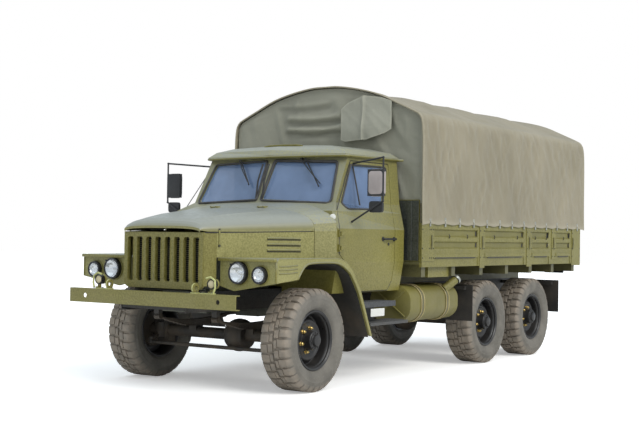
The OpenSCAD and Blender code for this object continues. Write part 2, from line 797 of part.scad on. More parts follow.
module wing(side) {
    t = wing_wall;
    color("#777a44") at_front_axle() mirror([side < 0 ? 1 : 0, 0, 0])
        difference() {
            union() {
                // outer face with the arch cut out
                along_x([wing_half_width - t, wing_half_width])
                    polygon(concat(wing_outline, arch_outline));
                // top and rear sheet, as wide as the wing
                along_x([420, wing_half_width - t + 1])
                    polygon(concat([for (p = wing_outline) if (p[1] > 1030) p], [[640, 930], [850, 480],
                        [822, 480], [614, 918], [478, 1098], [385, wing_top - 66], [300, wing_top - 36],
                        [215, wing_top - t], [-wing_front + t, wing_top - t], [-wing_front + t, 1040]]));
                // front face that carries the lamps
                along_y([-wing_front, -wing_front + t])
                    polygon([[470, 1010], [707, 948], [wing_half_width, 1028],
                        [wing_half_width, wing_top - 30], [470, wing_top - 30]]);
                // inner wall beside the engine
                along_x([600, 600 + t])
                    polygon([[-wing_front + 1, 1000], [firewall - 20, 1000],
                        [firewall - 20, wing_top - t + 1], [-wing_front + 1, wing_top - t + 1]]);
            }
            // room for the bonnet, its sides and the cab
            translate([0, 0, 940]) linear_extrude(400) polygon([[0, -1100], [side_x(-776) + 1, -1100],
                [side_x(-776) + 1, -776], [side_x(-466) - 18, -466], [0, -466]]);
            translate([0, 0, wing_top]) linear_extrude(200) square([3000, 3000], center = true);
            span([-1, belt_half + 2], [firewall - 10, 1200], [400, 1300]);
        }
}

module lamps(side) {
    // lamps: [x, z, bezel diameter]
    rows = [[774, 1113, headlamp_diameter], [1014, 1098, small_lamp_diameter]];
    color("#202220") at_front_axle() mirror([side < 0 ? 1 : 0, 0, 0])
        for (r = rows)
            translate([r[0], -wing_front, r[1]]) rotate([90, 0, 0]) {
                difference() {
                    cylinder(h = lamp_depth, r = r[2] / 2);
                    translate([0, 0, lamp_depth - 12]) cylinder(h = 20, r = r[2] / 2 - 14);
                }
                translate([0, 0, lamp_depth - 14]) cylinder(h = 12, r = r[2] / 2 - 16);
            }
}

// ---- cab ----

// cab rings: [height, front at middle, front at side, half width at front, at rear, rear wall]
cab_rings = [
    [cab_sill, firewall - 4, firewall, belt_half - 55, belt_half - 55, cab_rear],
    [cab_sill + 300, firewall - 4, firewall, belt_half - 3, belt_half - 3, cab_rear],
    [belt_height, firewall - 4, firewall, belt_half, belt_half, cab_rear],
    [shield_base - 90, firewall + 12, firewall + 15, 985, 1024, cab_rear + 4],
    [shield_base, 514, 590, 905, 1000, cab_rear + 8],
    [gutter_height, 744, 832, 878, 952, cab_rear + 18]];

function cab_ring(r, inset) = [
    [-r[3] + inset, r[2] + inset, r[0]], [0, r[1] + inset, r[0]], [r[3] - inset, r[2] + inset, r[0]],
    [r[4] - inset, r[5] - inset, r[0]], [-r[4] + inset, r[5] - inset, r[0]]];

module cab_volume(inset, grow = 0) {
    loft([for (i = [0 : len(cab_rings) - 1])
        let (r = cab_rings[i], dz = i == 0 ? -grow : i == len(cab_rings) - 1 ? grow : 0)
            [for (p = cab_ring(r, inset)) p + [0, 0, dz]]]);
}

// outline of a door in Y and Z
door_outline = [[426, 1290], [426, belt_height], [505, 1712], [642, 1806], [838, 2170], [872, 2212],
    [1500, 2212], [1496, 1850], [1455, belt_height], [1455, 1000], [1400, 908], [690, 908],
    [600, 1090], [560, 1180]];
// outline of a door window in Y and Z
door_window = [[686, 1765], [688, 1806], [872, 2155], [885, 2165], [1425, 2165], [1440, 2140],
    [1330, 1775], [1300, 1745], [715, 1735]];

module door_cut(side, gap) {
    mirror([side < 0 ? 1 : 0, 0, 0]) along_x([700, 1300]) polygon(grown(door_outline, gap));
}

// one windshield opening in the plane of its pane
module shield_cut(side) {
    mirror([side < 0 ? 1 : 0, 0, 0])
        along_y([300, 1100]) polygon([[38, 1835], [58, 2195], [70, 2212], [760, 2190], [778, 2165],
            [838, 1820], [815, 1792], [50, 1822]]);
}

module rear_window_cut() {
    for (s = [-1, 1])
        span([s * 400 - 220, s * 400 + 220], [1550, 1760], [1800, 2120]);
}

module cab_body() {
    color("#797c47") at_front_axle()
        difference() {
            cab_volume(0);
            cab_volume(cab_wall, 1);
            for (s = [-1, 1]) {
                door_cut(s, door_gap);
                shield_cut(s);
            }
            rear_window_cut();
            // room for the frame rails under the floor
            span([-rail_outer - 20, rail_outer + 20], [0, 2000], [cab_sill - 1, floor_bottom]);
        }
    // hinge leaves and pins of the doors
    color("#797c47") at_front_axle() both_sides()
        for (z = hinge_heights) {
            span([belt_half - 6, door_axis[0] - 2], [door_axis[1] - 36, door_axis[1] - 16], [z - 34, z + 34]);
            for (h = [z - 34, z + 20]) {
                span([door_axis[0] - 8, door_axis[0] + 8], [door_axis[1] - 36, door_axis[1]], [h, h + 14]);
                translate([door_axis[0], door_axis[1], h]) cylinder(h = 14, r = hinge_pin + 5);
            }
            translate([door_axis[0], door_axis[1], z - 30]) cylinder(h = 60, r = hinge_pin);
        }
}

module cab_roof() {
    // roof rings: [height, front at middle, front at side, half width at front, at rear, rear]
    rings = [
        [gutter_height, 700, 792, 888, 962, cab_rear + 34],
        [gutter_height + 30, 690, 784, 892, 966, cab_rear + 38],
        [gutter_height + 85, 720, 830, 815, 890, cab_rear - 5],
        [gutter_height + 125, 800, 900, 640, 700, cab_rear - 110],
        [roof_top, 930, 1000, 380, 420, cab_rear - 280]];
    inner = [for (i = [0 : len(rings) - 1]) let (r = rings[i], w = i < 2 ? 60 : 40)
        [r[0] - (i == 0 ? 1 : i == 1 ? 0 : 26), r[1] + w, r[2] + w, r[3] - w, r[4] - w, r[5] - w]];
    color("#7b7e4c") at_front_axle()
        difference() {
            loft([for (r = rings) cab_ring(r, 0)]);
            loft([for (r = inner) cab_ring(r, 0)]);
        }
}

module cab_windows() {
    color("#5f7488") at_front_axle() {
        intersection() {
            difference() {
                cab_volume(glass_depth, 1);
                cab_volume(glass_depth + glass_thickness, 2);
            }
            union() {
                for (s = [-1, 1]) shield_cut(s);
                rear_window_cut();
            }
        }
    }
}

module cab_floor() {
    color("#55583a") at_front_axle()
        intersection() {
            cab_volume(cab_wall + 0.5);
            span([-1200, 1200], [firewall, cab_rear], [floor_bottom, cab_floor_top]);
        }
}

module cowl() {
    // cowl stations: [y, half width, edge height, crown]
    stations = [
        [hood_rear + hood_gap, hood_rear_half + 3, seam_z(hood_rear), 226],
        [firewall, belt_half - 3, 1503, 262],
        [600, belt_half - 90, 1560, 240]];
    color("#787b46") at_front_axle() {
        difference() {
            loft([for (s = stations) arch_ring(s[0], s[1], s[2], s[3], wing_top)]);
            loft([for (s = stations)
                arch_ring(s[0] + (s[0] < 200 ? -1 : 0), s[1] - hood_wall, s[2], s[3] - hood_wall, wing_top - 1)]);
            cab_volume(-0.5);
            span([-1200, 1200], [firewall - 0.5, 1200], [1000, 1500]);
        }
        // hinge leaves and pins of the bonnet
        both_sides() translate([hood_hinge_x, 0, 0]) {
            for (x = [-42, 28]) {
                span([x, x + 14], [hood_axis_y - 8, hood_axis_y + 60], [hood_axis_z - 7, hood_axis_z + 7]);
                span([x, x + 14], [hood_rear + hood_gap, hood_axis_y + 60],
                    [hood_axis_z - 18, hood_axis_z]);
            }
            translate([-40, hood_axis_y, hood_axis_z]) rotate([0, 90, 0]) cylinder(h = 80, r = hinge_pin);
        }
    }
}

module door(side) {
    color("#7a7d46") at_front_axle() mirror([side < 0 ? 1 : 0, 0, 0])
        for (z = hinge_heights)
            difference() {
                union() {
                    translate([door_axis[0], door_axis[1], z - 18]) cylinder(h = 36, r = hinge_pin + 5);
                    span([belt_half - 4, door_axis[0] + hinge_pin + 3], [door_axis[1] + 2, door_axis[1] + 60],
                        [z - 18, z + 18]);
                }
                translate([door_axis[0], door_axis[1], z - 20])
                    cylinder(h = 40, r = hinge_pin + pin_clearance);
            }
    color("#7a7d46") at_front_axle()
        difference() {
            intersection() {
                difference() {
                    cab_volume(0);
                    cab_volume(cab_wall, 1);
                }
                door_cut(side, 0);
            }
            mirror([side < 0 ? 1 : 0, 0, 0]) along_x([700, 1300]) polygon(door_window);
        }
}

module door_glass(side) {
    color("#5f7488") at_front_axle()
        intersection() {
            difference() {
                cab_volume(glass_depth, 1);
                cab_volume(glass_depth + glass_thickness, 2);
            }
            mirror([side < 0 ? 1 : 0, 0, 0]) along_x([700, 1300]) polygon(door_window);
        }
}

module mirror_set(side) {
    color("#191a19") at_front_axle() mirror([side < 0 ? 1 : 0, 0, 0]) {
        // bracket tube: [x, y, z] of its bends
        bends = [[903.5, 905, 2188], [1385, 690, 2225], [1385, 690, 1800], [1053.6, 660, 1600]];
        for (i = [0 : 2]) bar(bends[i], bends[i + 1], 9);
        for (b = bends) translate(b) sphere(r = 12);
        span([1210, 1392], [683, 722], [1850, 2110]);
    }
}

module seat(x, back_top) {
    span(x, [900, 1390], [1230, 1370]);
    span(x, [1385, 1520], [1300, back_top]);
}

module driver_seat() {
    color("#3d4033") at_front_axle() {
        seat([260, 760], 1900);
        span([300, 720], [940, 1480], [cab_floor_top, 1230]);
    }
}

module passenger_seat() {
    color("#3d4033") at_front_axle() {
        seat([-780, 130], 1900);
        span([-740, 90], [940, 1480], [cab_floor_top, 1230]);
    }
}

module dashboard() {
    color("#2c2e2a") at_front_axle() {
        along_x([-dash_half, dash_half]) polygon([[dash_front, 1420], [640, 1420], [680, 1500], [660, 1640],
            [610, 1700], [560, 1700], [450, 1640], [dash_front, 1525]]);
        // steering column
        bar(wheel_hub - 345 * column_axis, wheel_hub - (20 + slack) * column_axis, 24);
    }
}

module steering_wheel() {
    r = steering_wheel_diameter / 2;
    color("#171817") at_front_axle() translate(wheel_hub) rotate([-column_tilt, 0, 0]) {
        rotate_extrude() translate([r - 15, 0]) circle(r = 15, $fn = 24);
        cylinder(h = 40, r = 45, center = true);
        for (a = [90, 210, 330]) rotate([0, 0, a])
            translate([30, -13, -7]) cube([r - 40, 26, 14]);
    }
}

// ---- cargo bed ----

module cargo_bed() {
    y = [bed_front, bed_rear - 60];
    in = bed_half - board_thickness - post_depth;
    color("#5b5e37") at_front_axle() {
        // the floor steps down under the headboard
        span([-in, in], y, [bed_floor_top - bed_floor_thickness, bed_floor_top - headboard_rebate]);
        span([-in, in], [y[0] + headboard_thickness, y[1]],
            [bed_floor_top - bed_floor_thickness, bed_floor_top]);
        both_sides() {
            // sills on the frame rails
            span([rail_outer - rail_flange, rail_outer], [y[0] + 60, min(y[1], frame_rear)],
                [rail_top, bearer_bottom + 1]);
            // hinge lugs and pins of the tailgate
            for (x = tailgate_hinges) {
                for (e = [x - 50, x + 36])
                    span([e, e + 14], [y[1] - 1, tailgate_axis[0] + 14],
                        [tailgate_axis[1] - 14, bed_floor_top - bed_floor_thickness + 8]);
                translate([x - 40, tailgate_axis[0], tailgate_axis[1]]) rotate([0, 90, 0])
                    cylinder(h = 80, r = 8);
            }
        }
        for (i = [0 : 6])
            let (by = y[0] + 90 + i * (y[1] - y[0] - 180) / 6)
                span([-in + 1, in - 1], [by - 40, by + 40],
                    [bearer_bottom, bed_floor_top - bed_floor_thickness + 1]);
    }
}

// posts: [front edge behind bed front, width, lower end]
posts = [[0, 300, bed_floor_top], [1274, 175, post_bottom], [2524, 144, post_bottom],
    [3238, 188, bed_floor_top], [3946, 289, post_bottom]];

// two side boards with their posts, and the headboard between them
module bed_boards() {
    x = [bed_half - board_thickness - post_depth, bed_half - post_depth];
    color("#73763f") at_front_axle() {
        both_sides() {
            span(x, [bed_front, bed_rear], [bed_floor_top - 60, board_top]);
            for (p = posts)
                span([x[1] - 1, bed_half], [bed_front + p[0], bed_front + p[0] + p[1]], [p[2], board_top]);
        }
        span([-x[0] + 0.5, x[0] - 0.5], [bed_front, bed_front + headboard_thickness],
            [bed_floor_top - headboard_rebate, headboard_top]);
    }
}

module tailgate() {
    w = bed_half - board_thickness - post_depth - tailgate_gap;
    color("#73763f") at_front_axle()
        difference() {
            union() {
                span([-w, w], [bed_rear - 60 + tailgate_gap, bed_rear - 20], [bed_floor_top - 10, board_top]);
                both_sides() for (x = tailgate_hinges) {
                    span([x - 30, x + 30], [bed_rear - 24, tailgate_axis[0] + 14],
                        [tailgate_axis[1], bed_floor_top + 60]);
                    translate([x - 30, tailgate_axis[0], tailgate_axis[1]]) rotate([0, 90, 0])
                        cylinder(h = 60, r = 14);
                }
            }
            both_sides() for (x = tailgate_hinges)
                translate([x - 35, tailgate_axis[0], tailgate_axis[1]]) rotate([0, 90, 0])
                    cylinder(h = 70, r = 8 + pin_clearance);
        }
}

// ---- canopy ----

// half section of the canopy's outer face: [x, z]
canopy_section = [[bed_half, 1617], [bed_half + 5, canopy_top - 658], [bed_half - 12, canopy_top - 403],
    [bed_half - 45, canopy_top - 353], [bed_half - 82, canopy_top - 330],
    [bed_half * 0.758, canopy_top - 224], [bed_half * 0.558, canopy_top - 115],
    [bed_half * 0.353, canopy_top - 46], [bed_half * 0.144, canopy_top - 3], [0, canopy_top]];

module canopy_profile(inset = 0, low = 1617) {
    half = [for (p = canopy_section) [max(p[0] - inset, 0), p[1] == 1617 ? low : p[1] - inset]];
    polygon(concat(half, [for (i = [len(half) - 2 : -1 : 0]) [-half[i][0], half[i][1]]]));
}

module canopy_cover() {
    color("#6f715f") at_front_axle()
        along_y([canopy_front_y, canopy_rear_y])
            difference() {
                canopy_profile();
                canopy_profile(canvas, 1600);
            }
}

module canopy_ends() {
    color("#6f715f") at_front_axle() {
        along_y([canopy_front_y, canopy_front_y + canvas - 0.5])
            intersection() {
                canopy_profile(canvas + slack);
                translate([-1500, 1810]) square([3000, 2000]);
            }
        along_y([canopy_rear_y - canvas, canopy_rear_y])
            intersection() {
                canopy_profile(canvas + slack);
                translate([-1500, 1655]) square([3000, 2000]);
            }
    }
}

module canopy_bows() {
    first = bed_front + 50;
    last = bed_rear - 40;
    color("#4a4d33") at_front_axle()
        for (i = [0 : bow_count - 1])
            let (y = first + i * (last - first) / (bow_count - 1))
                along_y([y - bow_width / 2, y + bow_width / 2])
                    difference() {
                        canopy_profile(canvas + 2, board_top);
                        canopy_profile(canvas + 26, board_top - 10);
                    }
}

// ---- assembly ----

frame_rails();
crossmembers();
front_bumper();
front_axle();
driven_axle(wheelbase, -1);  // middle_axle
driven_axle(rear_axle_y, -1);  // rear_axle
leaf_springs();
knuckle(1);  // left_knuckle
knuckle(-1);  // right_knuckle
tie_rod();
rim(1, 0);  // front_left_wheel
rim(-1, 0);  // front_right_wheel
rim(1, wheelbase);  // middle_left_wheel
rim(-1, wheelbase);  // middle_right_wheel
rim(1, rear_axle_y);  // rear_left_wheel
rim(-1, rear_axle_y);  // rear_right_wheel
tyre(1, 0);  // front_left_tyre
tyre(-1, 0);  // front_right_tyre
tyre(1, wheelbase);  // middle_left_tyre
tyre(-1, wheelbase);  // middle_right_tyre
tyre(1, rear_axle_y);  // rear_left_tyre
tyre(-1, rear_axle_y);  // rear_right_tyre
engine_block();
radiator();
transfer_case();
drive_shafts();
fuel_tank();
toolbox();
battery_box();
cab_steps();
grille();
hood();
hood_sides();
wing(1);  // left_wing
wing(-1);  // right_wing
lamps(1);  // left_headlamps
lamps(-1);  // right_headlamps
cowl();
cab_floor();
cab_body();
cab_roof();
cab_windows();
door(1);  // left_door
door(-1);  // right_door
door_glass(1);  // left_door_glass
door_glass(-1);  // right_door_glass
mirror_set(1);  // left_mirror
mirror_set(-1);  // right_mirror
driver_seat();
passenger_seat();
dashboard();
steering_wheel();
cargo_bed();
bed_boards();
tailgate();
canopy_bows();
canopy_cover();
canopy_ends();
mud_flaps();
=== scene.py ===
import json
import math

import bmesh
import bpy
import numpy as np
from mathutils import Matrix, Vector, noise
from mathutils.bvhtree import BVHTree


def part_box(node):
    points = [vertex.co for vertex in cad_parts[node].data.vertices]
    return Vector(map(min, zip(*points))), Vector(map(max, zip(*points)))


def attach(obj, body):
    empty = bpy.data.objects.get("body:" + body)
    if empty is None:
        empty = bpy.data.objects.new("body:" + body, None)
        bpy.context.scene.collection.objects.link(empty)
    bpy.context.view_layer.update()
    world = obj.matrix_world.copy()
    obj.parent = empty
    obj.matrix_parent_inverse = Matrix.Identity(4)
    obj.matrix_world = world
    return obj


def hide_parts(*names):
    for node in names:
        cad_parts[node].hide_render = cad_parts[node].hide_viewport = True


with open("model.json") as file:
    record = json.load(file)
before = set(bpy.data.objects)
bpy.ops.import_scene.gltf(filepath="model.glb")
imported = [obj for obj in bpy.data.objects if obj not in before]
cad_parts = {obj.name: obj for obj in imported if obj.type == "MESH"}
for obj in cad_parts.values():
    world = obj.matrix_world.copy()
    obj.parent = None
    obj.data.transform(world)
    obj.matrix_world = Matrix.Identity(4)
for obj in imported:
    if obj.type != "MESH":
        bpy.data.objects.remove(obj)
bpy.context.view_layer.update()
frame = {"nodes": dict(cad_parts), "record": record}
scene = bpy.context.scene
nodes = frame["nodes"]

# Sizes below are millimetres from the front axle; at() turns them into the frame.
tyre_lo, tyre_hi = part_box("front_left_tyre")
AXLE_Y = (tyre_lo.y + tyre_hi.y) / 2
HUB_Z = (tyre_lo.z + tyre_hi.z) * 500
HUB_X = (tyre_lo.x + tyre_hi.x) * 500


def at(x, y, z):
    return Vector((x / 1000, y / 1000 + AXLE_Y, z / 1000))


def mm(point):
    return (point.x * 1000, (point.y - AXLE_Y) * 1000, point.z * 1000)


def smooth(t):
    t = min(1.0, max(0.0, t))
    return t * t * (3 - 2 * t)


def between(value, xs, ys):
    return float(np.interp(value, xs, ys))


def curve_through(points, count, closed=False):
    """Points evenly spread along a smooth curve through the given ones."""
    p = [np.array(q, float) for q in points]
    n = len(p)
    fine = []
    for i in range(n if closed else n - 1):
        a, b = p[i], p[(i + 1) % n]
        before = p[i - 1] if closed or i else 2 * a - b
        after = p[(i + 2) % n] if closed or i + 2 < n else 2 * b - a
        ma, mb = (b - before) / 2, (after - a) / 2
        for k in range(12):
            t = k / 12
            fine.append((2 * t**3 - 3 * t**2 + 1) * a + (t**3 - 2 * t**2 + t) * ma
                        + (3 * t**2 - 2 * t**3) * b + (t**3 - t**2) * mb)
    fine.append(p[0] if closed else p[-1])
    fine = np.array(fine)
    run = np.concatenate([[0], np.cumsum(np.linalg.norm(np.diff(fine, axis=0), axis=1))])
    want = np.linspace(0, run[-1], count + 1 if closed else count)
    out = np.stack([np.interp(want, run, fine[:, k]) for k in range(fine.shape[1])], 1)
    return [tuple(q) for q in (out[:-1] if closed else out)]


def rounded(points, radius, steps=5):
    """A closed outline with its corners rounded; radius is one number or one for each corner."""
    out = []
    n = len(points)
    for i in range(n):
        a, b, c = (Vector(points[k % n]) for k in (i - 1, i, i + 1))
        r = radius[i] if isinstance(radius, (list, tuple)) else radius
        u, v = a - b, c - b
        r = min(r, u.length * 0.48, v.length * 0.48)
        if r <= 0:
            out.append(tuple(b))
            continue
        s, e = b + u.normalized() * r, b + v.normalized() * r
        for k in range(steps + 1):
            t = k / steps
            out.append(tuple((1 - t) ** 2 * s + 2 * t * (1 - t) * b + t * t * e))
    return out


def rect(x0, x1, z0, z1):
    return [(x0, z0), (x1, z0), (x1, z1), (x0, z1)]


class Shape:
    """Vertices and faces in millimetres from the front axle, built up piece by piece."""

    def __init__(self):
        self.v, self.f = [], []

    def add(self, verts, faces):
        k = len(self.v)
        self.v += [tuple(map(float, p)) for p in verts]
        self.f += [tuple(i + k for i in f) for f in faces]
        return self

    def box(self, x, y, z):
        v = [(x[i], y[j], z[k]) for i in (0, 1) for j in (0, 1) for k in (0, 1)]
        return self.add(v, [(0, 1, 3, 2), (4, 6, 7, 5), (0, 4, 5, 1), (2, 3, 7, 6), (0, 2, 6, 4),
                            (1, 5, 7, 3)])

    def prism(self, outline, axis, low, high):
        n = len(outline)
        put = {"x": lambda p, d: (d, p[0], p[1]), "y": lambda p, d: (p[0], d, p[1]),
               "z": lambda p, d: (p[0], p[1], d)}[axis]
        v = [put(p, low) for p in outline] + [put(p, high) for p in outline]
        sides = [(i, (i + 1) % n, n + (i + 1) % n, n + i) for i in range(n)]
        return self.add(v, sides + [tuple(range(n))[::-1], tuple(range(n, 2 * n))])

    def lathe(self, profile, centre, axis, count=64, closed=False):
        """profile: [distance along the axis, radius]"""
        w = Vector(axis).normalized()
        a = w.orthogonal().normalized()
        b = w.cross(a)
        c = Vector(centre)
        v = []
        for k in range(count):
            t = 2 * math.pi * k / count
            d = a * math.cos(t) + b * math.sin(t)
            v += [tuple(c + w * p[0] + d * p[1]) for p in profile]
        n = len(profile)
        f = [(k * n + i, k * n + (i + 1) % n, (k + 1) % count * n + (i + 1) % n, (k + 1) % count * n + i)
             for k in range(count) for i in range(n if closed else n - 1)]
        return self.add(v, f)

    def tube(self, path, radius, count=8, closed=False, flat=1.0):
        p = [Vector(q) for q in path]
        n = len(p)
        v = []
        up = None
        for i in range(n):
            before = p[i - 1] if closed or i else p[i]
            after = p[(i + 1) % n] if closed or i + 1 < n else p[i]
            d = (after - before).normalized()
            if up is None:
                up = d.orthogonal().normalized()
            up = (up - d * up.dot(d)).normalized()
            side = d.cross(up)
            r = radius[i] if isinstance(radius, (list, tuple)) else radius
            for k in range(count):
                t = 2 * math.pi * k / count
                v.append(tuple(p[i] + up * r * math.cos(t) + side * r * flat * math.sin(t)))
        f = [(i * count + k, i * count + (k + 1) % count, (i + 1) % n * count + (k + 1) % count,
              (i + 1) % n * count + k)
             for i in range(n if closed else n - 1) for k in range(count)]
        if not closed:
            f += [tuple(range(count))[::-1], tuple(range((n - 1) * count, n * count))]
        return self.add(v, f)

    def grid(self, rows, closed=False):
        m, n = len(rows), len(rows[0])
        f = [(i * n + j, i * n + (j + 1) % n, (i + 1) * n + (j + 1) % n, (i + 1) * n + j)
             for i in range(m - 1) for j in range(n if closed else n - 1)]
        return self.add([p for r in rows for p in r], f)

    def loft(self, rows):
        """Closed rings skinned together, with a cap on each end."""
        m, n = len(rows), len(rows[0])
        k = len(self.v)
        self.grid(rows, closed=True)
        self.f += [tuple(range(k, k + n))[::-1], tuple(range(k + (m - 1) * n, k + m * n))]
        return self


def to_object(name, shape, bevel=0.0, segments=1, angle=32, weld=0.02):
    mesh = bpy.data.meshes.new(name)
    mesh.from_pydata([at(*p) for p in shape.v], [], shape.f)
    bm = bmesh.new()
    bm.from_mesh(mesh)
    bmesh.ops.remove_doubles(bm, verts=bm.verts, dist=weld / 1000)
    bmesh.ops.recalc_face_normals(bm, faces=bm.faces)
    if bevel:
        sharp = [e for e in bm.edges if len(e.link_faces) == 2 and e.calc_face_angle(0) > math.radians(angle)]
        bmesh.ops.bevel(bm, geom=sharp, offset=bevel / 1000, segments=segments, affect="EDGES",
                        clamp_overlap=True)
    bm.to_mesh(mesh)
    bm.free()
    piece = bpy.data.objects.new(name, mesh)
    scene.collection.objects.link(piece)
    return piece


def shade(piece, angle=35):
    bm = bmesh.new()
    bm.from_mesh(piece.data)
    for f in bm.faces:
        f.smooth = True
    for e in bm.edges:
        e.smooth = e.calc_face_angle(0) < math.radians(angle)
    bm.to_mesh(piece.data)
    bm.free()


def applied(piece):
    """Replaces a piece's mesh with what its modifiers make of it."""
    bpy.context.view_layer.update()
    mesh = bpy.data.meshes.new_from_object(piece.evaluated_get(bpy.context.evaluated_depsgraph_get()))
    piece.modifiers.clear()
    piece.data = mesh
    return piece


def thicken(piece, thickness, offset):
    m = piece.modifiers.new("sheet", "SOLIDIFY")
    m.thickness, m.offset = thickness, offset
    return applied(piece)


def carve(piece, *cutters, how="DIFFERENCE"):
    for cutter in cutters:
        m = piece.modifiers.new("cut", "BOOLEAN")
        m.operation, m.object, m.solver = how, cutter, "EXACT"
    applied(piece)
    for cutter in cutters:
        bpy.data.objects.remove(cutter)
    return piece


def finish(piece, body, material, replaces=(), angle=35):
    shade(piece, angle)
    piece.data.materials.clear()
    piece.data.materials.append(material)
    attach(piece, body)
    if replaces:
        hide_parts(*replaces)
    return piece


def make(name, shape, body, material, replaces=(), bevel=0.0, segments=1, angle=32, smooth_angle=35):
    return finish(to_object(name, shape, bevel, segments, angle), body, material, replaces,
                  smooth_angle)


# ---- materials ----

class Finish:
    """A node material that is put together step by step."""

    def __init__(self, name):
        self.material = bpy.data.materials.new(name)
        self.material.use_nodes = True
        self.tree = self.material.node_tree
        self.tree.nodes.clear()
        self.output = self.tree.nodes.new("ShaderNodeOutputMaterial")
        self.place = self.tree.nodes.new("ShaderNodeTexCoord").outputs["Object"]

    def node(self, kind, **inputs):
        n = self.tree.nodes.new("ShaderNode" + kind)
        for key, value in inputs.items():
            self.put(n.inputs[key.replace("_", " ")], value)
        return n

    def put(self, socket, value):
        if isinstance(value, bpy.types.NodeSocket):
            self.tree.links.new(value, socket)
        else:
            socket.default_value = value

    def noise(self, scale, detail=4.0, stretch=(1, 1, 1), rough=0.5):
        vector = self.place
        if stretch != (1, 1, 1):
            vector = self.node("Mapping", Vector=self.place, Scale=stretch).outputs[0]
        return self.node("TexNoise", Vector=vector, Scale=scale, Detail=detail,
                         Roughness=rough).outputs["Fac"]

    def ramp(self, value, low, high, out_low=0.0, out_high=1.0):
        n = self.node("MapRange", Value=value)
        for key, number in (("From Min", low), ("From Max", high), ("To Min", out_low), ("To Max", out_high)):
            n.inputs[key].default_value = number
        return n.outputs[0]

    def math(self, how, a, b):
        n = self.tree.nodes.new("ShaderNodeMath")
        n.operation = how
        self.put(n.inputs[0], a)
        self.put(n.inputs[1], b)
        return n.outputs[0]

    def mix(self, factor, a, b):
        n = self.tree.nodes.new("ShaderNodeMix")
        n.data_type = "RGBA"
        self.put(n.inputs[0], factor)
        self.put(n.inputs[6], a)
        self.put(n.inputs[7], b)
        return n.outputs[2]

    def height(self):
        return self.node("SeparateXYZ", Vector=self.place).outputs["Z"]

    def shader(self, colour, roughness, bumps=(), **inputs):
        """bumps: (height, strength, distance in metres), the broadest first"""
        normal = None
        for level, strength, distance in bumps:
            n = self.node("Bump", Height=level)
            n.inputs["Strength"].default_value = strength
            n.inputs["Distance"].default_value = distance
            if normal is not None:
                self.tree.links.new(normal, n.inputs["Normal"])
            normal = n.outputs["Normal"]
        b = self.node("BsdfPrincipled", Base_Color=colour, Roughness=roughness, **inputs)
        if normal is not None:
            self.tree.links.new(normal, b.inputs["Normal"])
        self.tree.links.new(b.outputs[0], self.output.inputs["Surface"])
        return self.material


def rgb(r, g, b):
    return (r, g, b, 1.0)


def toned(base, times, plus=0.0):
    """A colour made darker or lighter."""
    return tuple(min(1, c * times + plus) for c in base[:3]) + (1.0,)


def paint(name, base, dust=rgb(0.33, 0.29, 0.2), gloss=0.42, dust_top=1.0, dust_most=0.55, spread=0.12,
          metallic=0.0, sky=None):
    """Brushed or sprayed paint: cloudy tone, fine streaks, orange peel, worn edges and dust low down; a given
    sky colour is a painted sky reflection on faces that point up.
    """
    f = Finish(name)
    broad = f.noise(1.6, 5)
    fine = f.noise(23, 3)
    streak = f.noise(9, 3, (3.0, 3.0, 0.25))
    dark = toned(base, 1 - spread * 1.6)
    light = toned(base, 1 + spread)
    colour = f.mix(f.ramp(broad, 0.3, 0.7), dark, light)
    colour = f.mix(f.ramp(streak, 0.52, 0.75, 0, 0.25), colour, toned(base, 0.7))
    colour = f.mix(f.ramp(fine, 0.45, 0.75, 0, 0.18), colour, light)
    # painted sky reflection: faces that point up are mixed toward the sky colour
    if sky:
        painted_sky_mask = f.node("SeparateXYZ", Vector=f.node("NewGeometry").outputs["Normal"]).outputs["Z"]
        colour = f.mix(f.ramp(painted_sky_mask, 0.0, 0.6), colour, sky)
    low = f.ramp(f.height(), 0.35, dust_top, 1, 0)
    dirt = f.math("MULTIPLY", low, f.ramp(f.noise(5, 6), 0.35, 0.7, 0.15, 1))
    colour = f.mix(f.math("MULTIPLY", dirt, dust_most), colour, dust)
    edge = f.node("NewGeometry").outputs["Pointiness"]
    worn = f.math("MULTIPLY", f.ramp(edge, 0.52, 0.6), f.ramp(f.noise(60, 4), 0.4, 0.6))
    colour = f.mix(f.math("MULTIPLY", worn, 0.5), colour, toned(base, 1.5, 0.03))
    rough = f.math("ADD", f.ramp(fine, 0.3, 0.7, gloss - 0.06, gloss + 0.1), f.math("MULTIPLY", dirt, 0.3))
    return f.shader(colour, rough, [(f.noise(3, 2), 0.12, 0.01), (f.noise(420, 2), 0.03, 0.0004)],
                    Metallic=metallic)


def plain(name, base, second, scale, rough, bump=0.15, grain=300, distance=0.0008, **inputs):
    """Two-tone material with a fine grain."""
    f = Finish(name)
    n = f.noise(scale, 5)
    colour = f.mix(f.ramp(n, 0.35, 0.65), base, second)
    fine = f.noise(grain, 3)
    return f.shader(colour, f.ramp(fine, 0.3, 0.7, rough - 0.06, rough + 0.08), [(fine, bump, distance)],
                    **inputs)


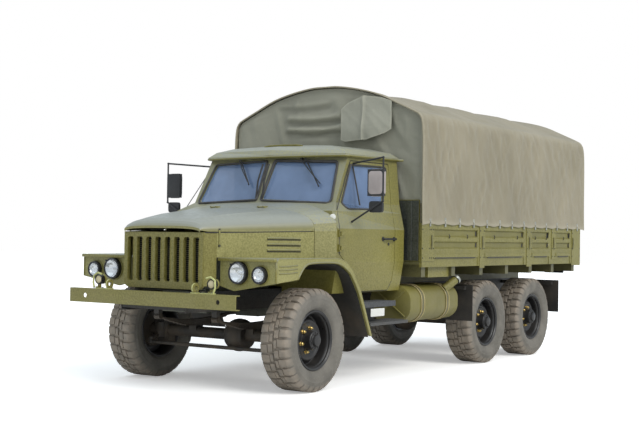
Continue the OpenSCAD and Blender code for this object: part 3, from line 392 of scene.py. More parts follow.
def canvas_cloth(name, base, second, fade):
    """Proofed canvas: weave, blotches, rain streaks, pale worn creases and painted shade darkening the hollows
    of the folds.
    """
    f = Finish(name)
    blotch = f.noise(1.1, 6)
    colour = f.mix(f.ramp(blotch, 0.32, 0.68), base, second)
    stain = f.noise(2.6, 5, (1, 1, 0.35))
    colour = f.mix(f.ramp(stain, 0.5, 0.72, 0, 0.45), colour, toned(base, 0.72))
    crease = f.node("NewGeometry").outputs["Pointiness"]
    colour = f.mix(f.ramp(crease, 0.505, 0.55, 0, 0.5), colour, fade)
    # painted shade: hollows of the folds are darkened
    colour = f.mix(f.ramp(crease, 0.495, 0.45, 0, 0.4), colour, toned(base, 0.55))
    warp = f.node("TexWave", Vector=f.place, Scale=210.0, Distortion=1.5).outputs["Fac"]
    f.tree.nodes[-1].bands_direction = "Z"
    weft = f.node("TexWave", Vector=f.place, Scale=210.0, Distortion=1.5).outputs["Fac"]
    f.tree.nodes[-1].bands_direction = "Y"
    weave = f.math("MULTIPLY", warp, weft)
    wrinkle = f.noise(7, 6, (1, 1, 0.6), 0.6)
    return f.shader(colour, 0.86, [(f.noise(2.2, 4, (1, 1, 0.8)), 0.9, 0.035), (wrinkle, 0.7, 0.01),
                                   (weave, 0.25, 0.0008)],
                    Sheen_Weight=0.15)


OLIVE = rgb(0.168, 0.15, 0.034)
olive = paint("olive paint", OLIVE)
# cab and door olive: less dust low down, and a painted sky sheen on faces that tilt up
olive_clean_sky_sheen = paint("olive paint on the cab", rgb(0.182, 0.162, 0.034), dust_top=0.8, gloss=0.36,
                    sky=rgb(0.235, 0.24, 0.18))
# brighter olive copies for the hood sides, wings, cowl and roof: painted light, with a painted sky reflection
# on faces that point up
olive_side_painted_light = paint("olive paint in the light", rgb(0.24, 0.222, 0.072), dust_top=0.7, gloss=0.36,
                   sky=rgb(0.225, 0.232, 0.18))
olive_top_painted_light = paint("olive paint under the sky", rgb(0.225, 0.208, 0.075), dust_top=0.7, gloss=0.34,
                  spread=0.06, sky=rgb(0.262, 0.272, 0.232))
# darker olive: painted shade on the cab floor, cargo bed and canopy bows; also used for the tank straps and
# board clasps
olive_dark_and_shade = paint("dark olive paint", rgb(0.10, 0.092, 0.036), dust_top=1.1)
# nearly black olive for the headboard: painted shade in the gap behind the cab
headboard_painted_shade = paint("headboard paint", rgb(0.034, 0.038, 0.03), dust_most=0.2)
chassis = paint("chassis black", rgb(0.022, 0.021, 0.019), dust=rgb(0.16, 0.12, 0.08), gloss=0.55,
                dust_top=1.0, dust_most=0.6)
spring = paint("spring steel", rgb(0.05, 0.042, 0.034), dust=rgb(0.17, 0.12, 0.07), gloss=0.5, dust_most=0.7,
               metallic=0.4)
iron = paint("engine iron", rgb(0.10, 0.108, 0.086), dust=rgb(0.2, 0.16, 0.1), gloss=0.6, dust_top=1.4)
rim_paint = paint("rim black", rgb(0.013, 0.013, 0.014), dust=rgb(0.10, 0.085, 0.07), gloss=0.24,
                  dust_most=0.25, spread=0.2)
hook_paint = paint("faded hook paint", rgb(0.42, 0.43, 0.17), dust_most=0.2)
step_paint = paint("worn step plate", rgb(0.045, 0.047, 0.05), dust=rgb(0.24, 0.2, 0.14), gloss=0.5,
                   dust_top=0.75)
black_plastic = plain("black plastic", rgb(0.012, 0.012, 0.013), rgb(0.022, 0.022, 0.023), 6, 0.5)
# black rubber for seals and shut lines, also used for the painted shadow lines on the bonnet and side boards
black_rubber_and_shadow = plain("window rubber", rgb(0.032, 0.03, 0.029), rgb(0.055, 0.052, 0.048), 12, 0.6)
flap_rubber = plain("flap rubber", rgb(0.018, 0.017, 0.016), rgb(0.06, 0.05, 0.04), 3, 0.66, 0.3, 90, 0.002)
lamp_black = plain("lamp black", rgb(0.008, 0.008, 0.009), rgb(0.014, 0.014, 0.015), 9, 0.2)
silver = plain("dull silver", rgb(0.5, 0.51, 0.46), rgb(0.36, 0.36, 0.32), 12, 0.38, Metallic=0.75)
gold = plain("brass nuts", rgb(0.78, 0.58, 0.22), rgb(0.6, 0.42, 0.14), 40, 0.26, Metallic=0.9)
cream = plain("cream strap edge", rgb(0.62, 0.52, 0.27), rgb(0.42, 0.33, 0.14), 9, 0.5)
blank = plain("blank plate", rgb(0.78, 0.78, 0.75), rgb(0.68, 0.68, 0.64), 5, 0.45)
mirror_back = plain("mirror housing", rgb(0.42, 0.37, 0.36), rgb(0.33, 0.29, 0.28), 5, 0.4)
reflector = plain("lamp reflector", rgb(0.88, 0.89, 0.9), rgb(0.8, 0.81, 0.83), 20, 0.12, 0.02, Metallic=1.0)
seat_cloth = plain("seat cover", rgb(0.33, 0.345, 0.33), rgb(0.25, 0.262, 0.25), 4, 0.8, 0.5, 500, 0.0008,
                   Sheen_Weight=0.2)
red_lens = plain("tail lamp lens", rgb(0.35, 0.012, 0.01), rgb(0.25, 0.01, 0.008), 30, 0.15)
amber_lens = plain("amber lens", rgb(0.7, 0.24, 0.02), rgb(0.6, 0.18, 0.02), 30, 0.15)
canvas = canvas_cloth("canvas", rgb(0.252, 0.222, 0.152), rgb(0.3, 0.264, 0.186), rgb(0.38, 0.345, 0.255))
# greyer canvas for the end walls, which stand in shade: painted shade tint
canvas_painted_shade = canvas_cloth("canvas of the ends", rgb(0.25, 0.25, 0.2), rgb(0.3, 0.295, 0.235),
                            rgb(0.38, 0.37, 0.29))
canvas_pale = canvas_cloth("canvas of the flap", rgb(0.33, 0.33, 0.27), rgb(0.37, 0.365, 0.3),
                           rgb(0.46, 0.45, 0.36))


def tyre_material():
    """Grey sidewall; brown dust lies in the tread and toward the ground."""
    f = Finish("tyre rubber")
    colour = f.mix(f.ramp(f.noise(6, 5), 0.35, 0.65), rgb(0.13, 0.12, 0.102), rgb(0.185, 0.17, 0.145))
    near = f.node("Attribute")
    near.attribute_name = "tread"
    tread = near.outputs["Fac"]
    dusty = f.math("MULTIPLY", tread, f.ramp(f.noise(14, 6), 0.3, 0.65, 0.35, 1))
    colour = f.mix(dusty, colour, rgb(0.31, 0.258, 0.205))
    scuff = f.ramp(f.noise(32, 5), 0.56, 0.7, 0, 0.5)
    colour = f.mix(scuff, colour, rgb(0.2, 0.185, 0.165))
    return f.shader(colour, f.ramp(f.noise(40, 3), 0.3, 0.7, 0.6, 0.8),
                    [(f.noise(60, 4), 0.25, 0.003), (f.noise(500, 2), 0.15, 0.0006)])


def core_material():
    """Dark radiator core with fine level fins."""
    f = Finish("radiator core")
    fins = f.node("TexWave", Vector=f.place, Scale=17.0, Distortion=0.4)
    fins.bands_direction = "Z"
    tubes = f.node("TexWave", Vector=f.place, Scale=30.0)
    tubes.bands_direction = "X"
    lines = f.math("MULTIPLY", fins.outputs["Fac"], f.ramp(tubes.outputs["Fac"], 0, 0.4, 0.4, 1))
    colour = f.mix(f.ramp(lines, 0.35, 0.8), rgb(0.012, 0.011, 0.009), rgb(0.15, 0.145, 0.1))
    return f.shader(colour, 0.55, [(lines, 0.6, 0.006), (f.noise(200, 2), 0.1, 0.001)], Metallic=0.3)


def glass_material(name, pane_colour_and_reflection, alpha, rough):
    """Pane with a flat colour, faint haze and wiped dust; on the window glass the blue colour is a painted sky
    reflection.
    """
    f = Finish(name)
    haze = f.noise(3, 5)
    colour = f.mix(f.ramp(haze, 0.3, 0.7), pane_colour_and_reflection, toned(pane_colour_and_reflection, 1.3, 0.01))
    return f.shader(colour, f.ramp(f.noise(25, 5), 0.4, 0.8, rough, rough + 0.08),
                    [(f.noise(1.5, 2), 0.01, 0.002)], Alpha=alpha, IOR=1.5)


rubber = tyre_material()
core = core_material()
# the blue of the window glass is a painted sky reflection
glass = glass_material("window glass", rgb(0.16, 0.235, 0.39), 0.6, 0.02)
lens = glass_material("lamp glass", rgb(0.75, 0.78, 0.8), 0.28, 0.03)
mirror_glass = plain("mirror glass", rgb(0.7, 0.72, 0.75), rgb(0.66, 0.68, 0.7), 3, 0.06, 0.01, Metallic=1.0)

slots = {"olive_paint": olive, "chassis_black": chassis, "spring_steel": spring, "engine_iron": iron,
         "radiator_core": core, "step_plate": step_paint, "lamp_black": lamp_black, "window_glass": glass,
         "black_plastic": black_plastic, "seat_cloth": seat_cloth, "canvas": canvas,
         "flap_rubber": flap_rubber, "rim_black": rim_paint, "tyre_rubber": rubber}
for part in frame["record"]["subparts"]:
    o = nodes[part["node"]]
    o.data.materials.clear()
    o.data.materials.append(slots[part["material_slot"]])
# a darker olive copy inside the cab and under the canopy is painted shade; the cab copy has a painted sky
# sheen, and the side and top copies are brighter as painted light
for material, names in ((olive_dark_and_shade, ("cab_floor", "cargo_bed", "canopy_bows")),
                        (olive_clean_sky_sheen, ("cab_body", "left_door", "right_door")),
                        (olive_side_painted_light, ("hood_sides", "left_wing", "right_wing")),
                        (olive_top_painted_light, ("cowl", "cab_roof"))):
    for name in names:
        nodes[name].data.materials[0] = material


# ---- wheels ----

def wheel_pieces(prefix, side):
    lo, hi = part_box(prefix + "_tyre")
    y = ((lo.y + hi.y) / 2 - AXLE_Y) * 1000
    body = prefix + "_wheel"
    hub = (side * HUB_X, y, HUB_Z)
    out = (side, 0, 0)
    half = [(124.7, 262.3), (130, 286), (136, 293), (150, 301), (160, 318), (168, 345), (172.5, 375),
            (172, 384), (174.5, 388), (174, 396), (170.5, 402), (167, 425), (159, 443), (147, 456),
            (131, 462), (60, 464)]
    carcass = Shape().lathe(half + [(-a, r) for a, r in half[::-1]], hub, out, 96, closed=True)
    lugs = Shape()
    count = 32
    shoulder = [(64, 458), (67, 481), (132, 481), (157, 456), (169, 425), (160, 424), (146, 450)]
    wide = [(44, 458), (47, 481)] + shoulder[2:]
    inner = [(6, 458), (8, 481.5), (40, 481.5), (42, 458)]
    broad = [(6, 458), (8, 481.5), (58, 481.5), (60, 458)]
    for k in range(count):
        even = k % 2 == 0
        for section, shift, span in ((wide if even else shoulder, 0.0, 0.36),
                                     (inner if even else broad, 0.12, 0.37),
                                     ([(-a, r) for a, r in (broad if even else inner)], 0.5, 0.37),
                                     ([(-a, r) for a, r in (shoulder if even else wide)], 0.62, 0.36)):
            middle = 2 * math.pi * (k + shift) / count
            step = 2 * math.pi / count
            rings = []
            for e in (-1, 0, 1):
                ring = []
                for a, r in section:
                    t = middle + e * step * (span if r > 470 else span + 0.04)
                    ring.append((hub[0] + side * a, hub[1] + r * math.cos(t), hub[2] + r * math.sin(t)))
                rings.append(ring)
            lugs.loft(rings)
    tyre = to_object(body[:-6] + "_tyre_rubber", carcass)
    treads = to_object("treads", lugs, 2.0, 1)
    for o, level in ((tyre, 0.0), (treads, 1.0)):
        values = []
        for v in o.data.vertices:
            x, py, z = mm(v.co)
            r = math.hypot(py - hub[1], z - hub[2])
            values.append(max(level * between(r, (430, 470), (0.25, 1.0)), between(r, (452, 462), (0, 0.9))))
        o.data.attributes.new("tread", "FLOAT", "POINT").data.foreach_set("value", values)
    joined(tyre, treads)
    finish(tyre, body, rubber, [prefix + "_tyre"], 40)
    front = [(168, 0), (168, 40), (164, 52), (142, 58), (139, 62), (138, 80), (133, 87), (70, 89), (62, 94),
             (52, 97), (50, 100), (50, 150), (54, 160), (62, 170), (65, 180), (60, 190), (38, 201), (18, 216),
             (8, 228), (14, 236), (40, 240.5), (86, 241), (104, 246), (112, 254), (126, 256), (133, 262),
             (138, 270), (138, 279), (133, 284), (127, 283), (125, 277), (124, 264), (118, 261.7)]
    back = [(-118, 261.7), (-124, 264), (-125, 277), (-127, 283), (-133, 284), (-138, 279), (-138, 266),
            (-130, 256), (-110, 244), (-40, 240), (0, 236), (2, 204), (40, 200), (40, 199.9), (-10, 199.9),
            (-10, 186), (30, 180), (30, 72), (-10, 68), (-10, 44), (116, 44), (116, 0)]
    rim = Shape().lathe(front + back, hub, out, 72)
    rim.tube([(hub[0] + side * 118, hub[1] + 168, hub[2] + 160),
              (hub[0] + side * 136, hub[1] + 174, hub[2] + 166)], 5)
    for k in range(12):
        t = 2 * math.pi * k / 12
        c = (hub[0] + side * 137, hub[1] + 72 * math.cos(t), hub[2] + 72 * math.sin(t))
        rim.lathe([(0, 8), (7, 8), (8, 6), (8, 0)], c, out, 6)
    make(body[:-6] + "_rim", rim, body, rim_paint, [prefix + "_wheel"], smooth_angle=32)
    nuts = Shape()
    for k in range(6):
        t = 2 * math.pi * (k + 0.25) / 6
        c = (hub[0] + side * 49, hub[1] + 113 * math.cos(t), hub[2] + 113 * math.sin(t))
        nuts.lathe([(0, 22), (4, 22), (5, 17), (24, 17), (28, 13), (28, 9), (36, 9), (37, 7), (37, 0)], c,
                   out, 6)
    make(body[:-6] + "_lug_nuts", nuts, body, gold, bevel=0.8)


def joined(piece, *others):
    """Joins the other meshes into piece, with their point values."""
    for o in others:
        with bpy.context.temp_override(active_object=piece, selected_editable_objects=[piece, o],
                                       object=piece):
            bpy.ops.object.join()
    return piece


for row in ("front", "middle", "rear"):
    wheel_pieces(row + "_left", 1)
    wheel_pieces(row + "_right", -1)


# ---- canopy ----

cover_lo, cover_hi = (mm(p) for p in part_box("canopy_cover"))
FRONT, REAR = cover_lo[1], cover_hi[1]
HEM, CROWN, WIDE = cover_lo[2], cover_hi[2], cover_hi[0] - 5
bows_lo, bows_hi = (mm(p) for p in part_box("canopy_bows"))
BOWS = [bows_lo[1] + 20 + i * (bows_hi[1] - bows_lo[1] - 40) / 4 for i in range(5)]
HOOK_PITCH = 330  # from hook to hook along the hem
half_section = [(WIDE + 9, HEM - 26), (WIDE + 5, HEM + 260), (WIDE + 4, CROWN - 658), (WIDE - 8, CROWN - 440),
                (WIDE - 38, CROWN - 362), (WIDE - 90, CROWN - 322), (WIDE * 0.758, CROWN - 224),
                (WIDE * 0.558, CROWN - 115), (WIDE * 0.353, CROWN - 46), (WIDE * 0.144, CROWN - 4),
                (0, CROWN)]
section = curve_through(half_section + [(-x, z) for x, z in half_section[-2::-1]], 132)
section_run = [0.0]
for (ax, az), (bx, bz) in zip(section, section[1:]):
    section_run.append(section_run[-1] + math.hypot(bx - ax, bz - az))
CLOTH_W = section_run[-1]


def crease(u, v, direction, pitch, seed):
    """A soft ridge pattern across one direction."""
    c, s = math.cos(direction), math.sin(direction)
    a = (u * c + v * s) / pitch
    b = (-u * s + v * c) / (pitch * 4)
    n = noise.noise(Vector((a, b, seed)))
    return 1 - min(1, abs(n) * 3.2)


rows = []
stations = 176
for i in range(stations + 1):
    y = FRONT + (REAR - FRONT) * i / stations
    near = min(abs(y - b) for b in BOWS)
    bay = smooth(near / 420)
    row = []
    for j, (x, z) in enumerate(section):
        a, b = section[max(0, j - 1)], section[min(len(section) - 1, j + 1)]
        normal = Vector((b[1] - a[1], a[0] - b[0])).normalized()
        side = smooth((CROWN - 300 - z) / 160)
        roof = 1 - side
        hold = smooth((z - HEM) / 160)
        end = smooth(min(y - FRONT, REAR - y) / 140)
        sag = -(26 * roof * smooth((z - (CROWN - 330)) / 90) + 9 * side * hold) * bay * end
        run = min(section_run[j], CLOTH_W - section_run[j])
        s = 1 if x > 0 else -1
        folds = 13 * crease(y, run * s, 0.42, 170, 3.1) + 12 * crease(y, run * s, -0.5, 190, 8.7)
        folds += 7 * crease(y, run * s, 0.05, 120, 14.2)
        d = sag + (folds - 12) * side * hold * end + 4 * roof * end * (crease(y, x, 1.2, 240, 5.5) - 0.5)
        pucker = max(0, 1 - (y - FRONT) / 95) * side * smooth((z - HEM) / 60)
        d += 5 * pucker * math.sin(z / 11 + 1.3 * math.sin(z / 47))
        eave = max(0, 1 - abs(z - (CROWN - 352)) / 26)
        d += eave * (3 + 3 * math.sin(y / 15))
        hem = max(0, 1 - (z - HEM) / 70)
        d += hem * (2 - 6 * math.sin((y - FRONT) * math.pi / HOOK_PITCH) ** 2)
        d = max(-34, min(6, d))
        lift = hem * 9 * math.sin((y - FRONT) * math.pi / HOOK_PITCH) ** 2
        row.append((x + normal.x * d, y, z + normal.y * d + lift))
    rows.append(row)
cover = to_object("canopy_sheet", Shape().grid(rows))
thicken(cover, 0.003, -1)
finish(cover, "chassis", canvas, ["canopy_cover"], 60)


def inside_section(x):
    """Height of the canopy's section above x."""
    roof = [p for p in section if p[1] > CROWN - 660][::-1]
    return between(x, [p[0] for p in roof], [p[1] for p in roof])


def end_sheet(name, y, low, outward, seed, swags):
    """A canvas wall laced inside the end of the cover, with its folds toward outward (-1 or 1 along Y)."""
    nx, nz = 90, 70
    half = WIDE - 22
    rows, area = [], 0.0
    for i in range(nx + 1):
        x = -half + 2 * half * i / nx
        top = inside_section(x) - 22
        row = []
        for j in range(nz + 1):
            z = low + (top - low) * j / nz
            edge = smooth(min(half - abs(x), top - z + 8) / 150)
            bottom = smooth((z - low) / 120)
            d = 16 * crease(x, z, 0.25, 210, seed) + 12 * crease(x, z, 1.1, 260, seed + 4)
            upright = crease(x, z, 1.5 if x > 0 else -1.5, 150, seed + 9)
            d += 22 * upright * (1 - edge) * smooth((half - abs(x)) / 40)
            for centre, depth, x0, x1 in swags:
                droop = centre - 26 * math.sin(math.pi * min(1, max(0, (x - x0) / (x1 - x0))))
                within = smooth((x - x0) / 80) * smooth((x1 - x) / 80)
                t = (z - droop) / 34
                d += within * depth * (math.exp(-(t - 1) ** 2) - 0.9 * math.exp(-(t + 0.7) ** 2))
            d = max(-6, min(40, d * edge * (0.4 + 0.6 * bottom)))
            row.append((x, y + outward * (d - 14), z))
        rows.append(row)
        area += (top - low) * 2 * half / nx
    o = to_object(name, Shape().grid(rows))
    thicken(o, 0.003, 0)
    finish(o, "chassis", canvas_painted_shade, (), 60)
    return o


front_sheet = end_sheet("canopy_front", FRONT + 22, 1815, -1, 2.3,
                        [(2745, 30, -560, 260), (2620, 34, -560, 330), (2900, 16, -700, 100)])
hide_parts("canopy_ends")
end_sheet("canopy_rear", REAR - 22, 1660, 1, 6.6, [(2480, 18, -900, 900)])

# window flap, hung by its top edge and tied at its corners
flap_rows = []
for i in range(41):
    u = i / 40
    row = []
    for j in range(37):
        v = j / 36
        x = 235 + 640 * u
        top = between(u, (0, 0.14, 0.46, 0.8, 1.0), (2840, 2905, 2975, 2945, 2900))
        bottom = between(u, (0, 0.1, 0.55, 0.88, 1), (2505, 2482, 2498, 2560, 2600))
        z = bottom + (top - bottom) * v
        arc = math.sin(math.pi * u)
        belly = 26 * arc * (1 - v) + 10 * math.sin(2.2 * math.pi * v) * arc
        fold = 16 * math.exp(-((u - 0.45) / 0.025) ** 2)
        row.append((x, FRONT - 22 - belly - fold - 4 * crease(x, z, 0.7, 130, 1.7), z))
    flap_rows.append(row)
flap = to_object("window_flap", Shape().grid(flap_rows))
thicken(flap, 0.004, 0)
finish(flap, "chassis", canvas_pale, (), 60)

# roll of the end edge, grommets, and the buckles and hooks that hold the hem down
lip = Shape()
for y in (FRONT + 4, REAR - 4):
    lip.tube([(x * 0.997, y, z - 6) for x, z in section], 9, 8)
make("canopy_edge_rolls", lip, "chassis", canvas)
fittings = Shape()
grommets = Shape()
for side in (-1, 1):
    y = FRONT + HOOK_PITCH / 2
    while y < REAR - 80:
        x = side * (WIDE + 3)
        grommets.lathe([(0, 9), (4, 9), (6, 13), (4, 19), (0, 20)], (x, y, HEM + 34), (side, 0, 0), 14)
        fittings.tube([(x, y, HEM + 30), (x + side * 9, y, HEM + 6), (x + side * 6, y, HEM - 22),
                       (x - side * 4, y + 4, HEM - 40)], 4.5, 6)
        fittings.box(sorted((x - side * 8, x + side * 8)), (y - 13, y + 13), (HEM - 44, HEM - 14))
        y += HOOK_PITCH
make("canopy_hem_buckles", fittings, "chassis", silver, bevel=1.2)
make("canopy_grommets", grommets, "chassis", silver)


# ---- bonnet, grille and lamps ----

def surface_of(node):
    o = nodes[node]
    verts = [o.matrix_world @ v.co for v in o.data.vertices]
    return BVHTree.FromPolygons(verts, [tuple(p.vertices) for p in o.data.polygons])


skins = {name: surface_of(name) for name in ("cab_body", "left_door", "hood_sides")}


def touch(node, start, direction, lift=0.0):
    """Where a ray meets a CAD node (mm), lifted off it toward the start; None when it misses."""
    hit = skins[node].ray_cast(at(*start), Vector(direction))[0]
    if hit is None:
        return None
    p = mm(hit)
    return tuple(p[i] - direction[i] * lift for i in range(3))


HOOD = [(-935, 464, 1484, 44), (-924, 469, 1482, 70), (-905, 478, 1480, 96), (-860, 500, 1474, 122),
        (-480, 663, 1479, 176), (168, 946, 1497, 225)]


def hood_at(y, c):
    """Bonnet skin at station y; c runs from -1 (right edge) to 1."""
    ys = [s[0] for s in HOOD]
    half, edge, crown = (between(y, ys, [s[k] for s in HOOD]) for k in (1, 2, 3))
    a = c * math.pi / 2
    x = half * math.copysign(abs(math.sin(a)) ** 0.62, c)
    z = edge + 4 + (crown - 4) * math.cos(a) ** 0.72
    crown_line = math.exp(-((abs(x) - 0.62 * half) / 38) ** 2) * 7 * smooth((y + 900) / 160)
    return (x, y, z + crown_line)


rows = []
for i in range(61):
    y = -935 + 75 * (i / 14) if i <= 14 else -860 + 1028 * (i - 14) / 46
    rows.append([hood_at(y, -1 + 2 * j / 72) for j in range(73)])
rows.insert(0, [(x * 0.985, -932, z - 22) for x, y, z in rows[0]])
bonnet = to_object("hood_skin", Shape().grid(rows))
thicken(bonnet, 0.004, -1)
leaves = Shape()
for side in (-1, 1):
    leaves.lathe([(-22, 0), (-22, 9), (22, 9), (22, 0)], (side * 300, 171, 1733), (1, 0, 0), 16)
joined(bonnet, to_object("leaves", leaves))
finish(bonnet, "hood", olive_top_painted_light, ["hood"], 30)

outline = rounded([(-486, 1471), (-486, 990), (-441, 950), (441, 950), (486, 990), (486, 1471)],
                  [4, 60, 60, 60, 60, 4])
face = to_object("grille_face", Shape().prism(outline, "y", -909, -869), 6, 3)
SLOTS = [(i - 3.5) * 115 for i in range(8)]
SLOT_HALF = 35.5
slot_shape = Shape()
for x in SLOTS:
    left, right = x - SLOT_HALF, x + SLOT_HALF
    slot_shape.prism(rounded(rect(left, right, 1015, 1426), 26, 6), "y", -1000, -800)
carve(face, to_object("slots", slot_shape))
edge = face.modifiers.new("rolled", "BEVEL")
edge.width, edge.segments, edge.angle_limit = 0.006, 3, math.radians(50)
applied(face)
nose = Shape()
for s in (-1, 1):
    nose.prism([(s * 486, -900), (s * 534, -776), (s * 516, -776), (s * 468, -875)], "z", 985, 1464)
for x in SLOTS:
    for s in (-1, 1):
        nose.box((x + s * 37 - 3, x + s * 37 + 3), (-915, -905), (1040, 1400))
joined(face, to_object("nose", nose, 2))
finish(face, "chassis", olive, ["grille"], 32)

# latch straps, seam and louvres, with black lines under the louvres as painted shadow
trim = Shape()
dark = Shape()
for s in (-1, 1):
    for z in (1419, 1363, 1308):
        path = []
        for k in range(9):
            y = -300 + 330 * k / 8
            hit = touch("hood_sides", (1500, y, z), (-1, 0, 0), 3)
            if hit:
                path.append((s * hit[0], hit[1], hit[2]))
        if len(path) > 2:
            trim.tube([(p[0], p[1], p[2] + 7) for p in path], 8, 8, flat=0.8)
            # painted shadow: a black line under each louvre
            dark.tube([(p[0], p[1], p[2] - 7) for p in path], 6, 6, flat=0.6)
    seam = []
    for y in range(-890, 160, 60):
        x = between(y, [-900, -776, -466, -175, 168], [480, 534, 669, 796, 946]) + 1
        seam.append((s * x, y, between(y, [-900, 168], [1467, 1497])))
    dark.tube(seam, 4, 6)
    trim.tube([(s * 549, -760, 1500), (s * 551, -758, 1440), (s * 551, -758, 1335)], 7, 8)
    dark.lathe([(0, 13), (12, 12), (12, 0)], (s * 545, -758, 1352), (s, 0, 0), 12)
    dark.lathe([(0, 10), (10, 9), (10, 0)], (s * 545, -758, 1498), (s, 0, 0), 12)
make("bonnet_trim", trim, "chassis", olive_side_painted_light, smooth_angle=60)
make("bonnet_seams", dark, "chassis", black_rubber_and_shadow, smooth_angle=60)

# headlamps: body, bright bowl, bulb and glass
LAMPS = ((774, 1113, 103), (1014, 1098, 80))  # x, z, radius
LAMP_BACK = -740
bodies, bowls, panes, rings = Shape(), Shape(), Shape(), Shape()
for s in (-1, 1):
    for x, z, r in LAMPS:
        c, d = (s * x, LAMP_BACK, z), (0, -1, 0)
        bodies.lathe([(0, r), (30, r), (43, r - 3), (48, r - 10), (47, r - 17), (38, r - 20), (30, r - 20)],
                     c, d, 56)
        bowls.lathe([(38, r - 20), (24, r * 0.68), (8, r * 0.45), (2, 18), (2, 14), (26, 12), (30, 0)], c, d,
                    48)
        panes.lathe([(40, r - 18), (44, r * 0.7), (49, r * 0.4), (51, 0)], c, d, 48)
        rings.lathe([(0, r + 12), (7, r + 11), (9, r + 4), (7, r)], c, d, 48)
    for k in (-1, 1):
        bodies.lathe([(34, 8), (50, 8), (52, 5), (52, 0)], (s * 774 + k * 70, LAMP_BACK, 1187), (0, -1, 0),
                     10)
make("headlamp_bodies", bodies, "chassis", lamp_black, ["left_headlamps", "right_headlamps"],
     smooth_angle=40)
make("headlamp_bowls", bowls, "chassis", reflector, smooth_angle=60)
make("headlamp_glass", panes, "chassis", lens, smooth_angle=60)
make("headlamp_rings", rings, "chassis", olive, smooth_angle=40)

# turn lamps, tow hooks and bolts on the bumper
guard, glow_lens, hooks, seats_iron = Shape(), Shape(), Shape(), Shape()
for s in (-1, 1):
    c = (s * 688, -1033, 1015)
    guard.lathe([(58, 0), (58, 38), (40, 46), (0, 47), (-6, 44), (-4, 38), (2, 36)], c, (0, 1, 0), 40)
    glow_lens.lathe([(2, 37), (-8, 30), (-13, 16), (-14, 0)], c, (0, 1, 0), 40)
    hooks.tube([(s * 728, -1050, 935), (s * 745, -1046, 985), (s * 740, -1044, 1050), (s * 690, -1044, 1078),
                (s * 640, -1044, 1066)], 9, 10)
    ring = [(s * 524, -1057 + 33 * math.cos(t), 977 + 33 * math.sin(t))
            for t in (math.radians(a) for a in range(-60, 226, 15))]
    hooks.tube(ring, 11, 12)
    hooks.tube([(s * 524, -1075, 932), ring[0]], 12, 10)
    hooks.box((s * 524 - 30, s * 524 + 30), (-1084, -1030), (929, 938))
    hooks.box((s * 640 - 44, s * 640 + 100), (-1078, -1030), (929, 936))
    for x in (504, 544, 610, 720):
        seats_iron.lathe([(0, 9), (7, 9), (8, 6), (8, 0)], (s * x, -1057, 937), (0, 0, 1), 6)
make("turn_lamp_bodies", guard, "chassis", lamp_black, smooth_angle=40)
cream_lens = plain("cream lens", rgb(0.62, 0.55, 0.36), rgb(0.5, 0.44, 0.27), 30, 0.16)
make("turn_lamp_lenses", glow_lens, "chassis", cream_lens, smooth_angle=60)
make("tow_hooks", hooks, "chassis", hook_paint, smooth_angle=45)
make("hook_bolts", seats_iron, "chassis", iron)

# wing lips, ribs and black liners
lips, liner = Shape(), Shape()
arch = [(815, 480), (603, 900), (457, 1090), (400, 1130), (282, 1185), (113, 1205), (-226, 1198),
        (-330, 1150), (-410, 1056)]
for s in (-1, 1):
    lips.tube([(s * 1178, y, z) for y, z in curve_through(arch, 40)], 9, 8)
    lips.tube([(s * 1172, y, z - 4)
               for y, z in ((-738, 1207), (-702, 1243), (-200, 1244), (220, 1244), (310, 1232), (400, 1198),
                     (500, 1119), (640, 930), (850, 482))], 9, 8)
    lips.box(sorted((s * 545, s * 1184)), (-775, -735), (1216, 1247))
    for z in (1178, 1146, 1114):
        lips.tube([(s * 1181, -700, z), (s * 1183, -560, z), (s * 1181, -420, z + 8)], 6, 8)
    lips.box(sorted((s * 1174, s * 1186)), (-748, -726), (1030, 1214))
    for y in (-620, -380, -120, 110):
        lips.lathe([(0, 11), (4, 10), (5, 0)], (s * 1090, y, 1245), (0, 0, 1), 10)
    inner = curve_through([(y, z - 12) if y > -380 else (y + 12, z) for y, z in arch], 40)
    rows = [[(s * x, y, z) for y, z in inner] for x in (640, 780, 920, 1050, 1160)]
    liner.grid(rows)
make("wing_lips", lips, "chassis", olive_clean_sky_sheen, bevel=1.5, smooth_angle=50)
inside = to_object("wing_liners", liner)
thicken(inside, 0.003, 0)
finish(inside, "chassis", chassis, (), 50)


# ---- cab ----

GLASS_LINE = [(38, 1835), (58, 2195), (70, 2212), (760, 2190), (778, 2165), (838, 1820), (815, 1792),
              (50, 1822)]
DOOR_GLASS = [(686, 1765), (688, 1806), (872, 2155), (885, 2165), (1425, 2165), (1440, 2140), (1330, 1775),
              (1300, 1745), (715, 1735)]
DOOR_LINE = [(426, 1290), (426, 1530), (505, 1712), (642, 1806), (838, 2170), (872, 2212), (1500, 2212),
             (1496, 1850), (1455, 1530), (1455, 1000), (1400, 908), (690, 908), (600, 1090), (560, 1180)]


def grown(outline, by):
    """An outline moved outward from its middle, corner by corner."""
    cx = sum(p[0] for p in outline) / len(outline)
    cz = sum(p[1] for p in outline) / len(outline)
    return [(x + math.copysign(by, x - cx), z + math.copysign(by, z - cz)) for x, z in outline]


def sampled(outline, radius, pitch=28):
    """A rounded outline as evenly spread points."""
    ring = rounded(outline, radius, 6)
    out = []
    for (ax, az), (bx, bz) in zip(ring, ring[1:] + ring[:1]):
        n = max(1, int(math.hypot(bx - ax, bz - az) / pitch))
        out += [(ax + (bx - ax) * k / n, az + (bz - az) * k / n) for k in range(n)]
    return out


# a ray that lands further in, or further back, has missed the skin around the window
DOOR_SKIN_X = 600
CAB_FRONT_Y = 1100


def on_door(s, outline, radius, lift):
    """A rounded outline laid on the door's skin and lifted off it; s is -1 for the right door."""
    path = []
    for y, z in sampled(outline, radius):
        hit = touch("left_door", (2500, y, z), (-1, 0, 0), lift)
        if hit and hit[0] > DOOR_SKIN_X:
            path.append((s * hit[0], hit[1], hit[2]))
    return path


